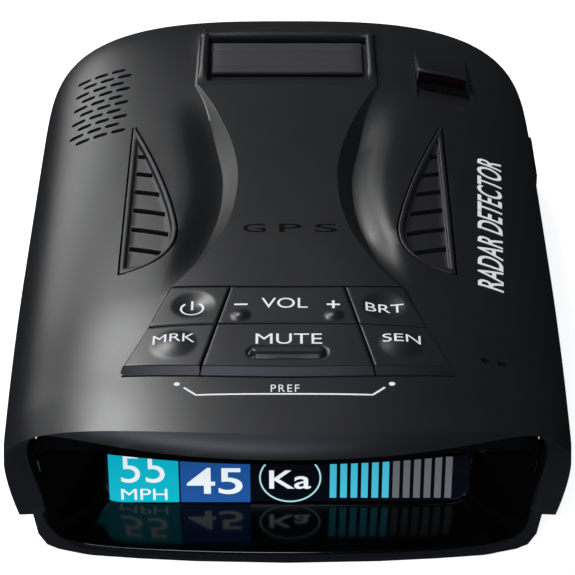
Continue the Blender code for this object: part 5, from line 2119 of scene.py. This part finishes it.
@dataclass
class SocketDetails:
    """Spring contacts inside the power socket."""

    contacts: int = 6
    pitch: float = 1.15
    wire_radius: float = 0.22

    def build(self) -> None:
        """Build the row of contacts, each a bent spring wire."""
        low, high = (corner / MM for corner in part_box("power_socket"))
        middle_y = (low.y + high.y) / 2.0
        for number in range(self.contacts):
            y = middle_y + (number - (self.contacts - 1) / 2.0) * self.pitch
            rows = []
            for inward, below in ((9.2, 1.6), (6.5, 2.2), (3.2, 3.4), (2.6, 3.1)):
                rows.append([(high.x - inward, y + self.wire_radius * math.cos(math.radians(60.0 * step)),
                              high.z - below + self.wire_radius * math.sin(math.radians(60.0 * step)))
                             for step in range(6)])
            wire = Solid()
            wire.loft(rows)
            finish_piece(wire.object(f"power_contact_{number + 1}"), Finish.GOLD)


@dataclass
class Internals:
    """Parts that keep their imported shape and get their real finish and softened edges."""

    finishes: dict[str, Finish] = field(default_factory=lambda: {
        "bottom_cover": Finish.CASE_BLACK,
        "display_panel": Finish.SCREEN_GLASS,
        "display_bracket": Finish.STEEL,
        "key_board": Finish.BOARD,
        "main_board": Finish.BOARD,
        "gps_module": Finish.ZINC,
        "gps_antenna": Finish.CERAMIC,
        "light_sensor": Finish.LENS_DARK,
        "horn_antenna": Finish.ZINC,
        "microwave_module": Finish.ZINC,
        "speaker_frame": Finish.STEEL,
        "speaker_cone": Finish.PAPER,
        "speaker_magnet": Finish.STEEL,
        "rear_sensor_receiver": Finish.LENS_DARK,
        "front_laser_lens": Finish.LENS_DARK,
        "front_laser_receiver": Finish.LENS_DARK,
        "power_socket": Finish.SOCKET_BLACK,
        "audio_jack": Finish.SOCKET_BLACK,
        "usb_socket": Finish.STEEL,
        "rating_label": Finish.LABEL,
    })
    softened: tuple[str, ...] = ("bottom_cover", "gps_module", "gps_antenna", "microwave_module",
                                 "usb_socket", "display_bracket", "speaker_magnet", "rating_label")

    def build(self, nodes: dict[str, bpy.types.Object]) -> None:
        """Dress every part that is still shown.

        Args:
            nodes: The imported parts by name.
        """
        for name, node in nodes.items():
            finish = self.finishes.get(name)
            if name.startswith("screw_") or name.endswith("_switch"):
                finish = Finish.STEEL
            if finish is None:
                continue
            node.data.materials.clear()
            node.data.materials.append(finish.material())
            if name in self.softened:
                add_modifier(node, "BEVEL", width=0.25 * MM, segments=3, limit_method="ANGLE",
                             angle_limit=math.radians(50.0))
            LOG.info("part %s keeps its shape, in %s", name, finish.value.name)


@dataclass(frozen=True)
class Softbox:
    """Soft rectangular light that hangs at a place and points at another, in metres."""

    name: str
    place: Point
    target: Point
    width: float
    height: float
    watts: float
    color: Color = (1.0, 1.0, 1.0)

    def build(self) -> None:
        """Hang the light."""
        data = bpy.data.lights.new(self.name, "AREA")
        data.shape = "RECTANGLE"
        data.size = self.width
        data.size_y = self.height
        data.energy = self.watts
        data.color = self.color
        light = bpy.data.objects.new(self.name, data)
        light.location = self.place
        aim = Vector(self.target) - Vector(self.place)
        light.rotation_euler = aim.to_track_quat("-Z", "Y").to_euler()
        bpy.context.scene.collection.objects.link(light)


@dataclass
class Studio:
    """Pale floor, soft lights and the camera."""

    camera_place: tuple[float, float, float] = (0.0, -0.3413, 0.2416)
    camera_tilt: float = 55.5
    lens: float = 155.3
    floor_half: float = 3.0
    softboxes: tuple[Softbox, ...] = (
        Softbox("key_softbox", (-0.55, 0.95, 0.28), (0.0, 0.04, 0.02), 0.42, 0.30, 1.5),
        Softbox("top_softbox", (-0.36, 0.60, 0.78), (0.0, 0.0, 0.02), 0.25, 0.25, 5.6),
        Softbox("front_softbox", (-0.25, -1.0, 0.95), (0.0, -0.04, 0.01), 0.6, 0.25, 6.5,
                (0.80, 0.85, 1.0)),
        Softbox("low_front_softbox", (-0.40, -1.2, 0.20), (0.0, -0.06, 0.02), 0.9, 0.16, 4.5,
                (0.82, 0.86, 1.0)),
    )

    def build(self) -> None:
        """Set up the floor, the lights and the camera."""
        self._build_floor()
        self._build_world()
        for softbox in self.softboxes:
            softbox.build()
        self._build_camera()

    def _build_camera(self) -> None:
        """Place the camera in front of the detector, above it."""
        data = bpy.data.cameras.new("studio_camera")
        data.sensor_width = 36.0
        data.lens = self.lens
        data.clip_start = 0.01
        camera = bpy.data.objects.new("studio_camera", data)
        camera.location = self.camera_place
        camera.rotation_euler = (math.radians(self.camera_tilt), 0.0, 0.0)
        bpy.context.scene.collection.objects.link(camera)
        bpy.context.scene.camera = camera
        bpy.context.scene.view_settings.view_transform = "Standard"

    def _build_floor(self) -> None:
        """Build the pale floor that the detector stands on."""
        floor = Solid()
        half = self.floor_half / MM
        floor.strip(floor.add([(-half, -half, -0.05), (half, -half, -0.05)]),
                    floor.add([(-half, half, -0.05), (half, half, -0.05)]))
        made = floor.object("studio_floor")
        shader = Shader("pale_floor")
        cloud = shader.noise(3.0)
        shade = shader.blend(cloud, (0.90, 0.90, 0.90), (0.93, 0.93, 0.93))
        shader.set(Base_Color=shade, Roughness=0.8 + 0.1 * cloud)
        shader.set(Emission_Color=shade, Emission_Strength=0.95)
        made.data.materials.append(shader.material)
        made.visible_glossy = False
        made.visible_diffuse = False

    def _build_world(self) -> None:
        """Give the room a dim even light."""
        world = bpy.data.worlds.new("studio")
        world.use_nodes = True
        world.node_tree.nodes["Background"].inputs["Color"].default_value = (0.80, 0.86, 1.0, 1.0)
        world.node_tree.nodes["Background"].inputs["Strength"].default_value = 0.022
        bpy.context.scene.world = world


def main() -> None:
    """Build the detector, piece by piece."""
    logging.basicConfig(level=logging.INFO, format="%(message)s")
    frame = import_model()
    shape = CaseShape()
    studio = Studio()
    studio.build()
    recess = DisplayRecess(shape)
    keypad = Keypad(shape)
    vents = Vents(shape)
    sensor = RearSensor(shape)
    recess.build()
    TopCover(shape).build(recess, keypad, vents, sensor)
    keypad.build()
    vents.build()
    Dock(shape).build()
    sensor.build()
    SocketDetails().build()
    SurfacePrint(shape).build()
    Internals().build(frame["nodes"])


if __name__ == "__main__":
    main()
